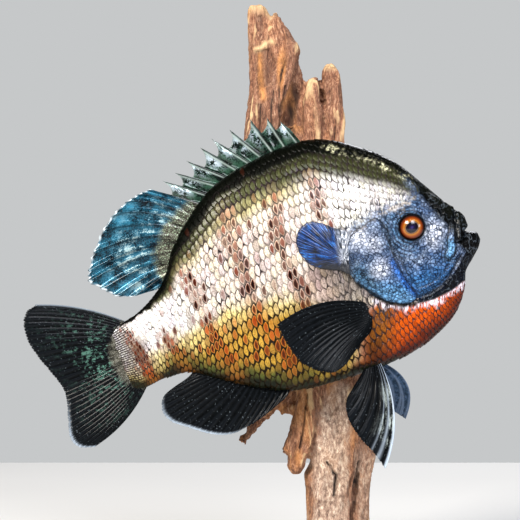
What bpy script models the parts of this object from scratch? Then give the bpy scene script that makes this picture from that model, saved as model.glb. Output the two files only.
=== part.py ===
"""Mounted bluegill: a large breeding male, head up, seated on a piece of driftwood that hangs on a wall.

Run it with: blender --background --python part.py, or from Blender's text editor.

World frame, metres: +X to the viewer's right, +Z up, +Y into the wall. The origin is on the driftwood's
flat back. The fish is built in a frame of its own, whose origin is the tip of the snout:
    s  distance towards the tail, along the body's axis
    t  distance towards the back
    w  distance towards the viewer, out of the right flank
Sizes inside the fish and the driftwood are in millimetres, and MM turns them into metres.
"""

import math

import bpy
import numpy as np
from mathutils import Vector
from mathutils.bvhtree import BVHTree

MM = 0.001

# Driving dimensions, in millimetres unless the name says otherwise.
SNOUT_X = 92.4  # tip of the snout, right of the wall mount
SNOUT_Z = 12.1  # and above it
MID_PLANE_Y = -49.0  # the fish's middle plane, in front of the wall
TILT_DEG = 19.0  # head above tail
GAP = 0.3  # clearance between pieces that touch
TAIL_BEND = 10.0  # how far the tail fin's end swings towards the viewer
BEND_START = 120.0  # station where the body starts to bend
BEND_LENGTH = 130.0  # from there to the end of the tail fin
TAIL_CUT = 173.0  # station where the trunk ends and the tail begins

RING_POINTS = 24  # points round the body
RING_STEPS = 2  # rings from one body station to the next
WIDEST = 0.45  # height of the widest level, as a share of the body's depth

# Body stations: back (s, t), belly (s, t), half width.
STATIONS = [
    (3.0, 16.0, 0.0, -0.6, 3.2),
    (5.2, 18.9, 2.7, -4.6, 6.0),
    (9.5, 23.2, 7.8, -9.2, 8.4),
    (15.0, 32.4, 13.6, -14.8, 10.6),
    (20.7, 41.6, 16.6, -22.6, 12.4),
    (28.1, 53.7, 23.5, -31.8, 14.4),
    (36.8, 63.0, 32.0, -38.2, 16.2),
    (50.4, 73.4, 46.0, -44.4, 18.4),
    (65.0, 81.5, 62.0, -47.7, 20.0),
    (81.5, 84.5, 82.0, -48.4, 20.4),
    (100.0, 83.3, 103.0, -47.8, 19.6),
    (118.0, 80.1, 122.0, -45.5, 17.6),
    (134.0, 73.9, 138.0, -39.4, 15.4),
    (149.0, 62.8, 152.0, -31.0, 13.0),
    (161.0, 51.8, 163.0, -24.0, 10.8),
    (170.8, 37.4, 171.0, -18.4, 9.2),
    (181.0, 29.0, 180.5, -16.1, 8.0),
    (192.0, 23.7, 191.0, -16.2, 6.6),
    (202.0, 21.6, 200.0, -17.4, 4.4),
    (209.0, 20.0, 207.0, -16.8, 1.8),
]

# Line where the scaly trunk meets the head: nape, gill cover's edge, chin. The last points close it.
HEAD_LINE = [
    (31.0, 80.0), (36.8, 63.0), (43.0, 50.0), (48.0, 40.0), (51.5, 33.0), (62.2, 27.2),
    (70.4, 20.2), (73.6, 9.0), (71.7, -2.0), (65.0, -11.2), (57.0, -17.4), (46.8, -21.0),
    (35.5, -22.0), (24.6, -20.6), (17.5, -18.2), (12.0, -18.0), (-12.0, -18.0), (-12.0, 80.0),
]
MOUTH_CUT = [
    (-12.0, 22.5), (4.2, 21.5), (10.9, 15.5), (13.0, 9.5), (16.1, 2.4), (17.7, -5.0), (18.9, -12.0),
    (19.6, -30.0), (-12.0, -30.0),
]
UPPER_JAW = [
    (4.2, 7.4), (14.6, 2.0), (15.7, 2.4), (12.7, 9.4), (10.6, 15.3), (4.1, 21.2), (2.2, 22.0),
    (3.8, 9.0),
]
LOWER_JAW = [
    (-12.0, 5.6), (2.6, 5.2), (14.8, 1.2), (16.0, 1.6), (17.4, -5.0), (18.6, -12.0), (19.3, -30.0),
    (-12.0, -30.0),
]

EYE_CENTRE = (34.4, 18.9)
EYE_RADIUS = 8.0
EYE_HALF_DEPTH = 4.6
EYE_PROUD = 2.1  # height of the cornea over the cheek

GILL_COVER_THICK = 0.9
EAR_FLAP_THICK = 1.5
PLATE_ROOT = 1.2  # how deep a gill plate reaches under the skin before it is trimmed
PLATE_DOME = ((1.0, 0.55), (0.8, 0.9), (0.4, 1.0))  # its rings: shares of the outline and thickness
GILL_COVER = [
    (51.0, 30.0), (48.6, 22.0), (50.0, 12.0), (49.0, 2.0), (47.0, -7.0), (44.0, -15.0),
    (42.0, -19.0), (47.5, -19.6), (56.5, -15.9), (63.8, -10.0), (70.0, -2.0), (72.0, 8.6),
    (68.8, 18.8), (61.2, 25.4),
]
EAR_FLAP = [
    (67.6, 27.0), (75.7, 33.6), (80.2, 37.3), (84.7, 39.9), (89.4, 39.8), (94.0, 36.6),
    (96.6, 31.8), (96.9, 26.0), (94.2, 18.9), (89.3, 14.4), (84.0, 11.6), (79.0, 9.4), (74.8, 5.8),
    (73.6, 9.6), (70.6, 20.3),
]

SPINE_BASES = [
    (77.4, 84.0), (84.4, 83.6), (91.6, 83.0), (98.5, 82.4), (106.2, 81.8), (113.5, 80.2),
    (121.0, 78.4), (128.0, 76.4), (134.4, 73.0), (139.6, 69.4),
]
SPINE_TIPS = [
    (82.7, 97.7), (89.0, 102.0), (98.0, 104.2), (110.6, 102.3), (121.6, 100.8), (129.0, 98.2),
    (138.6, 93.8), (146.8, 89.6), (154.6, 87.6), (163.0, 85.6),
]

# Fins: points along the base, and points along the free margin in the same order.
SOFT_DORSAL_BASE = [
    (141.8, 65.6), (148.5, 61.6), (157.0, 54.0), (164.4, 44.6), (169.8, 35.6),
]
SOFT_DORSAL_MARGIN = [
    (166.0, 85.0), (176.0, 83.7), (186.2, 79.2), (195.5, 71.8), (204.4, 61.8), (209.8, 53.0),
    (210.8, 47.8), (204.4, 41.0), (198.8, 35.4), (190.0, 32.6), (181.0, 32.4),
]
CAUDAL_BASE = [
    (197.0, 19.6), (200.0, 12.0), (201.5, 2.0), (200.0, -8.0), (197.6, -14.6),
]
CAUDAL_MARGIN = [
    (242.0, 46.2), (249.4, 42.6), (252.4, 32.0), (250.4, 20.0), (246.4, 8.6), (243.0, -2.0),
    (243.2, -9.6), (245.8, -19.6), (247.6, -29.0), (244.8, -35.4), (237.0, -38.4),
]
ANAL_BASE = [
    (124.6, -42.4), (138.0, -36.6), (150.0, -29.6), (160.0, -22.4), (170.4, -15.6),
]
ANAL_MARGIN = [
    (133.0, -48.6), (145.0, -53.2), (156.0, -55.6), (165.0, -56.2), (175.0, -52.4), (185.6, -44.8),
    (193.4, -38.6), (195.8, -31.6), (192.8, -24.8), (185.6, -21.6), (176.6, -19.4),
]
PECTORAL_BASE = [
    (66.6, -14.4), (68.6, -18.8), (71.0, -23.2), (73.4, -27.2),
]
PECTORAL_MARGIN = [
    (121.0, -6.4), (120.4, -14.0), (118.0, -23.0), (115.0, -30.6), (109.0, -36.8), (101.0, -40.8),
    (94.0, -39.4), (86.6, -34.4), (78.6, -29.0),
]
PELVIC_BASE = [
    (74.0, -45.0), (77.0, -45.4), (80.0, -45.6), (83.0, -45.6),
]
PELVIC_RIGHT_MARGIN = [
    (90.6, -100.6), (93.8, -90.2), (97.4, -82.4), (100.0, -74.0), (100.8, -66.0), (98.6, -58.4),
    (92.6, -52.8),
]
PELVIC_LEFT_MARGIN = [
    (69.2, -82.6), (75.6, -80.0), (81.0, -73.0), (83.6, -64.0), (83.0, -55.0),
]
FOLDED_PECTORAL_MARGIN = [
    (97.0, -41.0), (96.0, -44.0), (92.0, -45.6), (87.0, -43.4), (80.6, -36.0),
]

# Driftwood: height, left, right, front and back of each level of a piece, all in the world frame.
TRUNK_LEVELS = [
    (-184.0, 4.0, 20.0, -22.0, -6.0), (-178.0, 0.0, 25.0, -26.0, 6.0),
    (-160.0, -3.0, 25.0, -29.0, 6.0), (-146.0, -2.6, 24.6, -28.0, 6.0),
    (-129.0, -3.2, 25.0, -29.0, 6.0), (-122.0, -4.4, 26.5, -29.0, 6.0),
    (-115.0, -0.6, 28.8, -30.0, 6.0), (-104.0, -2.4, 30.6, -30.0, 6.0),
    (-88.0, -4.4, 31.4, -29.0, 6.0), (-72.0, -7.6, 31.0, -27.0, 6.0),
    (-40.0, -14.0, 29.0, -28.0, 6.0), (0.0, -22.0, 25.0, -34.0, 6.0),
    (40.0, -32.0, 21.5, -34.0, 6.0), (66.0, -38.0, 20.4, -31.0, 4.0),
    (78.0, -37.0, 18.8, -22.0, -2.0),
]
LEFT_PRONG_LEVELS = [
    (30.0, -36.0, -8.0, -33.0, -8.0), (62.0, -39.4, -12.0, -33.0, -6.0),
    (72.0, -38.4, -15.4, -32.0, -5.0), (82.0, -37.4, -15.2, -31.0, -5.0),
    (94.0, -35.6, -12.0, -30.0, -5.0), (107.0, -35.8, -8.0, -29.0, -6.0),
    (119.0, -35.6, -5.6, -28.0, -7.0), (123.5, -35.8, -6.6, -27.5, -8.0),
    (131.0, -36.0, -11.6, -26.0, -9.0), (137.5, -36.0, -17.0, -25.0, -10.0),
    (141.2, -35.8, -19.8, -24.0, -11.0), (143.6, -35.0, -25.0, -23.0, -12.0),
    (145.2, -33.6, -28.0, -21.0, -14.0),
]
RECESSED_LEVELS = [
    (55.0, -24.0, 2.0, -22.0, -4.0), (72.0, -22.0, -0.6, -20.0, -5.0),
    (90.0, -20.0, -1.8, -19.0, -6.0), (103.0, -18.0, -3.2, -18.0, -7.0),
    (108.0, -17.0, -4.6, -17.0, -8.0), (117.0, -16.0, -7.4, -16.0, -9.0),
]
MIDDLE_PRONG_LEVELS = [
    (50.0, -8.0, 10.0, -31.0, -6.0), (70.0, -6.0, 7.2, -29.5, -7.0), (84.0, -5.4, 7.0, -28.0, -8.0),
    (95.0, -3.8, 5.2, -26.0, -9.0), (102.0, -2.6, 4.8, -24.0, -10.0),
    (104.4, 1.6, 4.4, -22.0, -12.0),
]
RIGHT_PRONG_LEVELS = [
    (45.0, 4.0, 21.4, -30.0, -5.0), (68.0, 7.6, 19.6, -28.0, -6.0), (78.0, 8.0, 20.2, -27.0, -6.0),
    (86.0, 7.4, 18.8, -26.0, -7.0), (100.0, 5.6, 18.0, -25.0, -8.0),
    (107.2, 5.8, 16.6, -23.0, -9.0), (110.4, 7.6, 13.6, -21.0, -11.0),
    (112.4, 9.4, 11.8, -19.0, -13.0),
]
LEFT_LUMP_LEVELS = [
    (-60.0, -8.0, 8.0, -31.0, -14.0), (-74.0, -8.0, 5.6, -33.0, -13.0),
    (-87.0, -10.4, 3.8, -34.0, -12.0), (-99.0, -14.8, 1.6, -34.0, -13.0),
    (-106.0, -17.2, -0.4, -33.0, -14.0), (-109.0, -13.6, -1.6, -32.0, -14.0),
    (-115.0, -13.9, -3.2, -31.0, -15.0), (-119.6, -10.6, -6.2, -28.0, -18.0),
]
RIGHT_STRIP_LEVELS = [
    (-176.0, 26.0, 31.0, -20.0, -6.0), (-170.0, 24.6, 33.4, -22.0, 0.0),
    (-146.0, 22.0, 34.0, -23.0, 0.0), (-129.0, 23.6, 34.6, -24.0, 0.0),
    (-116.0, 26.4, 36.2, -24.0, -1.0), (-109.5, 27.0, 37.4, -24.0, -2.0),
    (-103.0, 27.0, 32.6, -23.0, -4.0),
]
LIMB_PATH = [
    (-39.6, -102.4, 3.4), (-34.0, -95.4, 3.2), (-28.6, -89.4, 2.9), (-19.0, -80.0, 4.2),
    (-4.0, -66.0, 6.0),
]
STUB_PATH = [
    (-17.6, -85.6, 1.8), (-13.0, -83.6, 3.4), (-4.0, -79.0, 5.0),
]
LIMB_Y = -15.0  # middle of the broken limb, in front of the wall
WOOD_POINTS = 16  # points round a piece of driftwood
GRAIN_RIDGE = 0.05  # how far the grain's ridges stand, as a share of the half width

FISH_PARTS = "MountedBluegill"
CUTTERS = "Cutters"


# ---------------------------------------------------------------- scene helpers


def clear_scene():
    for obj in list(bpy.data.objects):
        bpy.data.objects.remove(obj, do_unlink=True)


def new_collection(name):
    collection = bpy.data.collections.new(name)
    bpy.context.scene.collection.children.link(collection)
    return collection


def material(name, rgb, roughness, metallic=0.0):
    found = bpy.data.materials.get(name)
    if found:
        return found
    made = bpy.data.materials.new(name)
    made.use_nodes = True
    shader = made.node_tree.nodes["Principled BSDF"]
    shader.inputs["Base Color"].default_value = (*rgb, 1.0)
    shader.inputs["Roughness"].default_value = roughness
    shader.inputs["Metallic"].default_value = metallic
    made.diffuse_color = (*rgb, 1.0)
    return made


def scaled_skin():
    return material("scaled_skin", (0.45, 0.40, 0.24), 0.3, 0.2)


def head_skin():
    return material("head_skin", (0.14, 0.24, 0.36), 0.3, 0.1)


def jaw_skin():
    return material("jaw_skin", (0.07, 0.08, 0.09), 0.3)


def ear_flap_skin():
    return material("ear_flap_skin", (0.04, 0.12, 0.42), 0.3, 0.1)


def dark_fin():
    return material("dark_fin_membrane", (0.03, 0.035, 0.04), 0.3)


def back_fin():
    return material("back_fin_membrane", (0.16, 0.24, 0.23), 0.3, 0.1)


def eye_glass():
    return material("eye_glass", (0.62, 0.22, 0.04), 0.05)


def weathered_wood():
    return material("driftwood", (0.42, 0.26, 0.17), 0.85)


class Workshop:
    """The two collections and the empty that holds the fish's pose."""

    def __init__(self):
        self.parts = new_collection(FISH_PARTS)
        self.cutters = new_collection(CUTTERS)
        self.pose = bpy.data.objects.new("fish_pose", None)
        self.pose.location = Vector((SNOUT_X, MID_PLANE_Y, SNOUT_Z)) * MM
        self.pose.rotation_euler = (0.0, -math.radians(TILT_DEG), 0.0)
        self.parts.objects.link(self.pose)

    def add(self, name, points, faces, finish, on_fish=True):
        """A node from points in metres and faces that list them outwards."""
        mesh = bpy.data.meshes.new(name)
        mesh.from_pydata([tuple(p) for p in points], [], faces)
        mesh.validate()
        obj = bpy.data.objects.new(name, mesh)
        self.parts.objects.link(obj)
        if finish:
            mesh.materials.append(finish)
        if on_fish:
            obj.parent = self.pose
        mesh.shade_smooth()
        mesh.set_sharp_from_angle(angle=math.radians(40.0))
        return obj

    def take(self, obj):
        """Moves a new primitive into the parts' collection."""
        for collection in list(obj.users_collection):
            collection.objects.unlink(obj)
        self.parts.objects.link(obj)

    def as_cutter(self, obj):
        self.parts.objects.unlink(obj)
        self.cutters.objects.link(obj)
        obj.hide_render = True
        obj.display_type = "WIRE"
        return obj


def boolean(obj, operation, other):
    modifier = obj.modifiers.new(f"{operation.lower()}_{other.name}", "BOOLEAN")
    modifier.operation = operation
    modifier.solver = "EXACT"
    modifier.object = other


# ---------------------------------------------------------------- geometry helpers


def in_fish(s, t, w):
    """A point of the fish's frame, in metres under the pose's empty."""
    return (-s * MM, -w * MM, t * MM)


def bend(s):
    """How far the middle plane has swung towards the viewer at station s."""
    past = max(0.0, s - BEND_START) / BEND_LENGTH
    return TAIL_BEND * past * past


def smooth_through(points, u):
    """The point at share u of a Catmull-Rom curve through the given ones."""
    last = len(points) - 1
    place = min(max(u, 0.0), 1.0) * last
    i = min(int(place), last - 1)
    f = place - i
    p1 = np.array(points[i], float)
    p2 = np.array(points[i + 1], float)
    p0 = np.array(points[i - 1], float) if i > 0 else 2 * p1 - p2
    p3 = np.array(points[i + 2], float) if i + 2 <= last else 2 * p2 - p1
    bow = 2 * p0 - 5 * p1 + 4 * p2 - p3
    twist = 3 * p1 - p0 - 3 * p2 + p3
    return 0.5 * (2 * p1 + (p2 - p0) * f + bow * f * f + twist * f**3)


def smooth_ring(points, count):
    """A closed smooth curve through the given points, as count points of it."""
    size = len(points)
    around = [points[(i - 1) % size] for i in range(size + 3)]
    whole = size + 2
    return [smooth_through(around, (1 + size * k / count) / whole) for k in range(count)]


def grown(outline, by):
    """The outline with every corner moved outwards by a distance."""
    points = np.array(outline, float)
    before = points - np.roll(points, 1, axis=0)
    after = np.roll(points, -1, axis=0) - points
    area = np.sum(points[:, 0] * np.roll(points[:, 1], -1) - np.roll(points[:, 0], -1) * points[:, 1])
    turn = math.copysign(1.0, area)
    corner = np.zeros_like(points)
    for edge in (before, after):
        square = turn * np.stack([edge[:, 1], -edge[:, 0]], axis=1)
        corner += square / np.linalg.norm(edge, axis=1)[:, None]
    corner /= 0.5 * np.sum(corner**2, axis=1)[:, None]
    return points + by * corner


def prism_faces(count):
    """Sides and two caps of a prism: ring 0 first, ring 1 after it."""
    sides = [(i, (i + 1) % count, count + (i + 1) % count, count + i) for i in range(count)]
    return sides + [tuple(range(count))[::-1], tuple(range(count, 2 * count))]


def ring_faces(rings, count):
    """Quads between rings of points, with a cap on each end."""
    faces = []
    for r in range(rings - 1):
        for i in range(count):
            j = (i + 1) % count
            faces.append((r * count + i, r * count + j, (r + 1) * count + j, (r + 1) * count + i))
    top = (rings - 1) * count
    return faces + [tuple(range(count))[::-1], tuple(range(top, top + count))]


def outwards(obj):
    """Turns the faces of a closed mesh outwards."""
    mesh = obj.data
    volume = 0.0
    for polygon in mesh.polygons:
        corners = [mesh.vertices[i].co for i in polygon.vertices]
        for k in range(1, len(corners) - 1):
            volume += corners[0].dot(corners[k].cross(corners[k + 1]))
    if volume < 0.0:
        mesh.flip_normals()
    return obj


# ---------------------------------------------------------------- the body


def section(station, swell):
    """One ring of the body, between its back point and its belly point."""
    back = np.array(station[0:2])
    belly = np.array(station[2:4])
    upright = (back - belly) / np.linalg.norm(back - belly)
    back = back + swell * upright
    belly = belly - swell * upright
    half = station[4] + swell
    points = []
    for k in range(RING_POINTS):
        angle = 2 * math.pi * k / RING_POINTS - math.pi / 2
        rise = math.sin(angle)
        level = WIDEST + (1.0 - WIDEST if rise > 0.0 else WIDEST) * rise
        sharp = 1.12 if rise > 0.0 else 0.96
        out = half * math.copysign(abs(math.cos(angle)) ** sharp, math.cos(angle))
        s, t = belly + level * (back - belly)
        points.append(in_fish(s, t, bend(s) + out))
    return points


def body_mesh(shop, name, finish, swell=0.0):
    """The whole body from lips to tail fin, as one loft that the cuts then part."""
    count = RING_STEPS * (len(STATIONS) - 1) + 1
    points = []
    for k in range(count):
        points += section(smooth_through(STATIONS, k / (count - 1)), swell)
    return outwards(shop.add(name, points, ring_faces(count, RING_POINTS), finish))


def prism(shop, name, outline, low=-80.0, high=80.0):
    """A cutter with the given side outline, right through the body."""
    points = [in_fish(s, t, low) for s, t in outline] + [in_fish(s, t, high) for s, t in outline]
    return shop.as_cutter(outwards(shop.add(name, points, prism_faces(len(outline)), None)))


def flank_reader(shop):
    """A function that finds the skin's distance from the middle plane at (s, t), on side +1 or -1."""
    body = body_mesh(shop, "flank_probe", None)
    corners = [v.co for v in body.data.vertices]
    tree = BVHTree.FromPolygons(corners, [tuple(p.vertices) for p in body.data.polygons])
    bpy.data.objects.remove(body, do_unlink=True)

    def flank(s, t, side):
        start = Vector(in_fish(s, t, 70.0 * side))
        hit = tree.ray_cast(start, Vector((0.0, side, 0.0)))[0]
        return -hit.y / MM if hit else bend(s)

    return flank


def make_body(shop):
    """Trunk, tail, head and jaws: one loft, parted by thin cuts."""
    head_zone = prism(shop, "cut_head", HEAD_LINE)
    head_clear = prism(shop, "cut_head_clear", grown(HEAD_LINE, GAP))
    mouth = prism(shop, "cut_mouth", MOUTH_CUT)
    behind = [(TAIL_CUT, 90.0), (TAIL_CUT, -70.0), (260.0, -70.0), (260.0, 90.0)]
    tail_zone = prism(shop, "cut_tail", behind)
    tail_clear = prism(shop, "cut_tail_clear", grown(behind, GAP))

    trunk = body_mesh(shop, "trunk", scaled_skin())
    boolean(trunk, "DIFFERENCE", head_clear)
    boolean(trunk, "DIFFERENCE", tail_clear)
    tail = body_mesh(shop, "tail", scaled_skin())
    boolean(tail, "INTERSECT", tail_zone)
    head = body_mesh(shop, "head", head_skin())
    boolean(head, "INTERSECT", head_zone)
    boolean(head, "DIFFERENCE", mouth)
    for name, outline in (("upper_jaw", UPPER_JAW), ("lower_jaw", LOWER_JAW)):
        jaw = body_mesh(shop, name, jaw_skin())
        boolean(jaw, "INTERSECT", head_zone)
        boolean(jaw, "INTERSECT", prism(shop, f"cut_{name}", outline))
    return head


def make_eyes(shop, flank, head):
    """A flattened glass ball on each side, in a socket of its own."""
    for label, side in (("right", 1), ("left", -1)):
        s, t = EYE_CENTRE
        skin = flank(s, t, side) * side
        w = side * (skin + EYE_PROUD - EYE_HALF_DEPTH)
        for name, extra in ((f"eye_{label}", 0.0), (f"cut_socket_{label}", GAP)):
            bpy.ops.mesh.primitive_uv_sphere_add(segments=16, ring_count=10, radius=1.0)
            ball = bpy.context.object
            ball.name = name
            for v in ball.data.vertices:
                radius = EYE_RADIUS + extra
                depth = EYE_HALF_DEPTH + extra
                v.co = Vector((v.co.x * radius, v.co.z * depth, v.co.y * radius)) * MM
            ball.data.flip_normals()
            ball.parent = shop.pose
            ball.location = in_fish(s, t, w)
            shop.take(ball)
            if extra:
                boolean(head, "DIFFERENCE", shop.as_cutter(ball))
            else:
                ball.data.materials.append(eye_glass())
                ball.data.shade_smooth()


def flank_plate(shop, name, outline, side, thick, flank, finish):
    """A thin plate over the flank inside a closed outline. It reaches under the skin, to be trimmed."""
    count = 2 * len(outline)
    rim = smooth_ring(outline, count)
    middle = np.mean(rim, axis=0)
    points = [in_fish(s, t, flank(s, t, side) - side * PLATE_ROOT) for s, t in rim]
    for scale, height in PLATE_DOME:
        for p in rim:
            s, t = middle + scale * (p - middle)
            points.append(in_fish(s, t, flank(s, t, side) + side * (GAP + thick * height)))
    return outwards(shop.add(name, points, ring_faces(len(PLATE_DOME) + 1, count), finish))


def make_gill_plates(shop, flank, body_clear):
    """Gill covers and ear flaps. The cutters that seat the left ones in the wood are returned."""
    seats = []
    kinds = (
        ("gill_cover", GILL_COVER, GILL_COVER_THICK, head_skin()),
        ("ear_flap", EAR_FLAP, EAR_FLAP_THICK, ear_flap_skin()),
    )
    for part, outline, thick, finish in kinds:
        for label, side in (("right", 1), ("left", -1)):
            plate = flank_plate(shop, f"{part}_{label}", outline, side, thick, flank, finish)
            boolean(plate, "DIFFERENCE", body_clear)
        room = grown(outline, 2 * GAP)
        clear = flank_plate(shop, f"cut_{part}_seat", room, -1, thick + 2 * GAP, flank, None)
        seats.append(shop.as_cutter(clear))
    return seats


# ---------------------------------------------------------------- the fins


def blade(shop, name, grid, half_thick, finish):
    """A closed fin from rows of middle points, base to margin, and its half thickness at each."""
    rows = len(grid)
    columns = len(grid[0])
    points = []
    for side in (1, -1):
        for r in range(rows):
            for c in range(columns):
                s, t, w = grid[r][c]
                points.append(in_fish(s, t, w + side * half_thick(r / (rows - 1), c)))
    size = rows * columns
    faces = []
    for r in range(rows - 1):
        for c in range(columns - 1):
            a = r * columns + c
            faces.append((a, a + 1, a + columns + 1, a + columns))
            faces.append((size + a, size + a + columns, size + a + columns + 1, size + a + 1))
    rim = list(range(columns))
    rim += [r * columns + columns - 1 for r in range(1, rows)]
    rim += [(rows - 1) * columns + c for c in range(columns - 2, -1, -1)]
    rim += [r * columns for r in range(rows - 2, 0, -1)]
    for a, b in zip(rim, rim[1:] + rim[:1]):
        faces.append((b, a, size + a, size + b))
    return outwards(shop.add(name, points, faces, finish))


def ray_thickness(rays, base, edge, ripple):
    """Half thickness of a rayed fin: it thins towards the margin, and each second column is a ray."""

    def half(v, column):
        ray = 1.0 if column % 2 == 0 else -1.0
        return 0.5 * (base + (edge - base) * v) + 0.5 * ripple * ray * (1.0 - 0.5 * v)

    return half


def rayed_fin(shop, name, base, margin, rays, sway, bow, finish, rows=4, thick=(2.0, 0.85)):
    """A fin whose rays run from its base to its margin.

    sway gives w at a place: u along the base, v along the ray, s from the snout.
    bow gives how far the middle of the ray at u bulges."""
    columns = 2 * rays - 1
    grid = []
    for r in range(rows):
        v = r / (rows - 1)
        line = []
        for c in range(columns):
            u = c / (columns - 1)
            start = smooth_through(base, u)
            end = smooth_through(margin, u)
            along = end - start
            square = np.array([-along[1], along[0]]) / np.linalg.norm(along)
            place = start + v * along + 4 * v * (1 - v) * bow(u) * square
            line.append((place[0], place[1], sway(u, v, place[0])))
        grid.append(line)
    return blade(shop, name, grid, ray_thickness(rays, thick[0], thick[1], 0.3), finish)


def spiny_dorsal(shop, body_clear):
    """Ten stout spines with a membrane that is notched behind each tip."""
    columns = []
    last = len(SPINE_BASES) - 1
    for i, (base, tip) in enumerate(zip(SPINE_BASES, SPINE_TIPS)):
        base, tip = np.array(base), np.array(tip)
        root = base + 0.16 * (base - tip)
        columns.append((root, tip, 1.0))
        if i == last:
            break
        next_base, next_tip = np.array(SPINE_BASES[i + 1]), np.array(SPINE_TIPS[i + 1])
        for share, height in ((0.3, 0.86), (0.82, 0.7)):
            foot = base + share * (next_base - base)
            reach = tip - base + share * ((next_tip - next_base) - (tip - base))
            columns.append((foot - 0.16 * reach, foot + height * reach, 0.0))
    front_root, front_tip, _ = columns[0]
    web_tip = front_root + 0.5 * (front_tip - front_root) - [1.8, 0.0]
    columns.insert(0, (front_root - [1.6, 0.3], web_tip, 0.0))
    rows = 4
    grid = []
    for r in range(rows):
        v = r / (rows - 1)
        places = [root + v * (top - root) for root, top, _ in columns]
        grid.append([(s, t, bend(s)) for s, t in places])

    def half(v, column):
        spine = columns[column][2]
        return 0.5 * ((2.1 - 1.1 * v) if spine else (1.3 - 0.5 * v))

    fin = blade(shop, "spiny_dorsal_fin", grid, half, back_fin())
    boolean(fin, "DIFFERENCE", body_clear)
    return fin


def make_middle_fins(shop, body_clear):
    """Soft dorsal, tail and anal fins, on the body's middle plane."""

    def in_plane(u, v, s):
        return bend(s)

    def tail_sway(u, v, s):
        return bend(s) + 1.6 * v * math.sin(3.0 * math.pi * u)

    def anal_sway(u, v, s):
        return bend(s) + 3.0 * v * (1.0 - u)

    soft = rayed_fin(shop, "soft_dorsal_fin", SOFT_DORSAL_BASE, SOFT_DORSAL_MARGIN, 11, in_plane,
                     lambda u: -1.6 * u, back_fin())
    caudal = rayed_fin(shop, "caudal_fin", CAUDAL_BASE, CAUDAL_MARGIN, 17, tail_sway,
                       lambda u: 3.0 - 6.6 * u, dark_fin())
    anal = rayed_fin(shop, "anal_fin", ANAL_BASE, ANAL_MARGIN, 12, anal_sway,
                     lambda u: u - 1.0, dark_fin())
    for fin in (soft, caudal, anal):
        boolean(fin, "DIFFERENCE", body_clear)


def make_paired_fins(shop, flank, body_clear):
    """Pectoral and pelvic fins. The pectoral next to the wood is folded down against the flank."""

    def spread(u, v, s):
        return flank(70.0, -22.0, 1) - 1.6 + 17.0 * v**0.75

    def folded(u, v, s):
        return -(16.4 + 2.0 * v)

    def right_pelvic(u, v, s):
        return 5.0 + 14.0 * v - 5.0 * u * v

    def left_pelvic(u, v, s):
        return -5.0 - 22.0 * v * v + 6.0 * u * v

    near = rayed_fin(shop, "pectoral_fin_right", PECTORAL_BASE, PECTORAL_MARGIN, 13, spread,
                     lambda u: 6.8 * (1.0 - u) ** 1.5, dark_fin(), rows=5)
    far = rayed_fin(shop, "pectoral_fin_left", PECTORAL_BASE, FOLDED_PECTORAL_MARGIN, 9, folded,
                    lambda u: 1.0, dark_fin(), thick=(1.6, 0.85))
    below = rayed_fin(shop, "pelvic_fin_right", PELVIC_BASE, PELVIC_RIGHT_MARGIN, 6, right_pelvic,
                      lambda u: -6.4 * (1.0 - u), dark_fin())
    beyond = rayed_fin(shop, "pelvic_fin_left", PELVIC_BASE, PELVIC_LEFT_MARGIN, 6, left_pelvic,
                       lambda u: -8.6 * (1.0 - u), dark_fin())
    for fin in (near, far, below, beyond):
        boolean(fin, "DIFFERENCE", body_clear)


# ---------------------------------------------------------------- the driftwood


def rounded_box(angle):
    """A square with round corners, from -1 to 1 each way."""
    x, y = math.cos(angle), math.sin(angle)
    return math.copysign(abs(x) ** 0.45, x), math.copysign(abs(y) ** 0.45, y)


def timber(shop, name, levels, seed):
    """A grained length of wood between its levels, with ridges along the grain."""
    points = []
    for k, (z, left, right, front, back) in enumerate(levels):
        wide, deep = (right - left) / 2, (back - front) / 2
        middle_x, middle_y = (right + left) / 2, (back + front) / 2
        for i in range(WOOD_POINTS):
            angle = 2 * math.pi * i / WOOD_POINTS
            x, y = rounded_box(angle)
            ridge = 1.0 + GRAIN_RIDGE * math.sin(seed + 7.3 * angle + 0.9 * math.sin(0.05 * z + seed))
            edge = 1.0 if abs(x) > abs(y) else ridge
            points.append((
                (middle_x + wide * x * min(ridge, 1.0)) * MM,
                (middle_y + deep * y * edge) * MM,
                (z + 1.4 * math.sin(2.1 * i + 5.0 * k + seed) * (0 < k < len(levels) - 1)) * MM,
            ))
    faces = ring_faces(len(levels), WOOD_POINTS)
    return outwards(shop.add(name, points, faces, weathered_wood(), on_fish=False))


def limb(shop, name, path, seed):
    """A short broken branch along points (x, z, half thickness)."""
    sides = 10
    points = []
    for k, (x, z, radius) in enumerate(path):
        near, ahead = path[max(k - 1, 0)], path[min(k + 1, len(path) - 1)]
        along = Vector((ahead[0] - near[0], 0.0, ahead[1] - near[1])).normalized()
        across = along.cross(Vector((0.0, 1.0, 0.0)))
        for i in range(sides):
            angle = 2 * math.pi * i / sides
            ragged = radius * (1.0 + 0.14 * math.sin(3 * angle + 2.0 * k + seed))
            place = Vector((x, LIMB_Y, z)) + across * ragged * math.cos(angle)
            place.y += 1.2 * ragged * math.sin(angle)
            points.append(place * MM)
    return outwards(shop.add(name, points, ring_faces(len(path), sides), weathered_wood(), on_fish=False))


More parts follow.
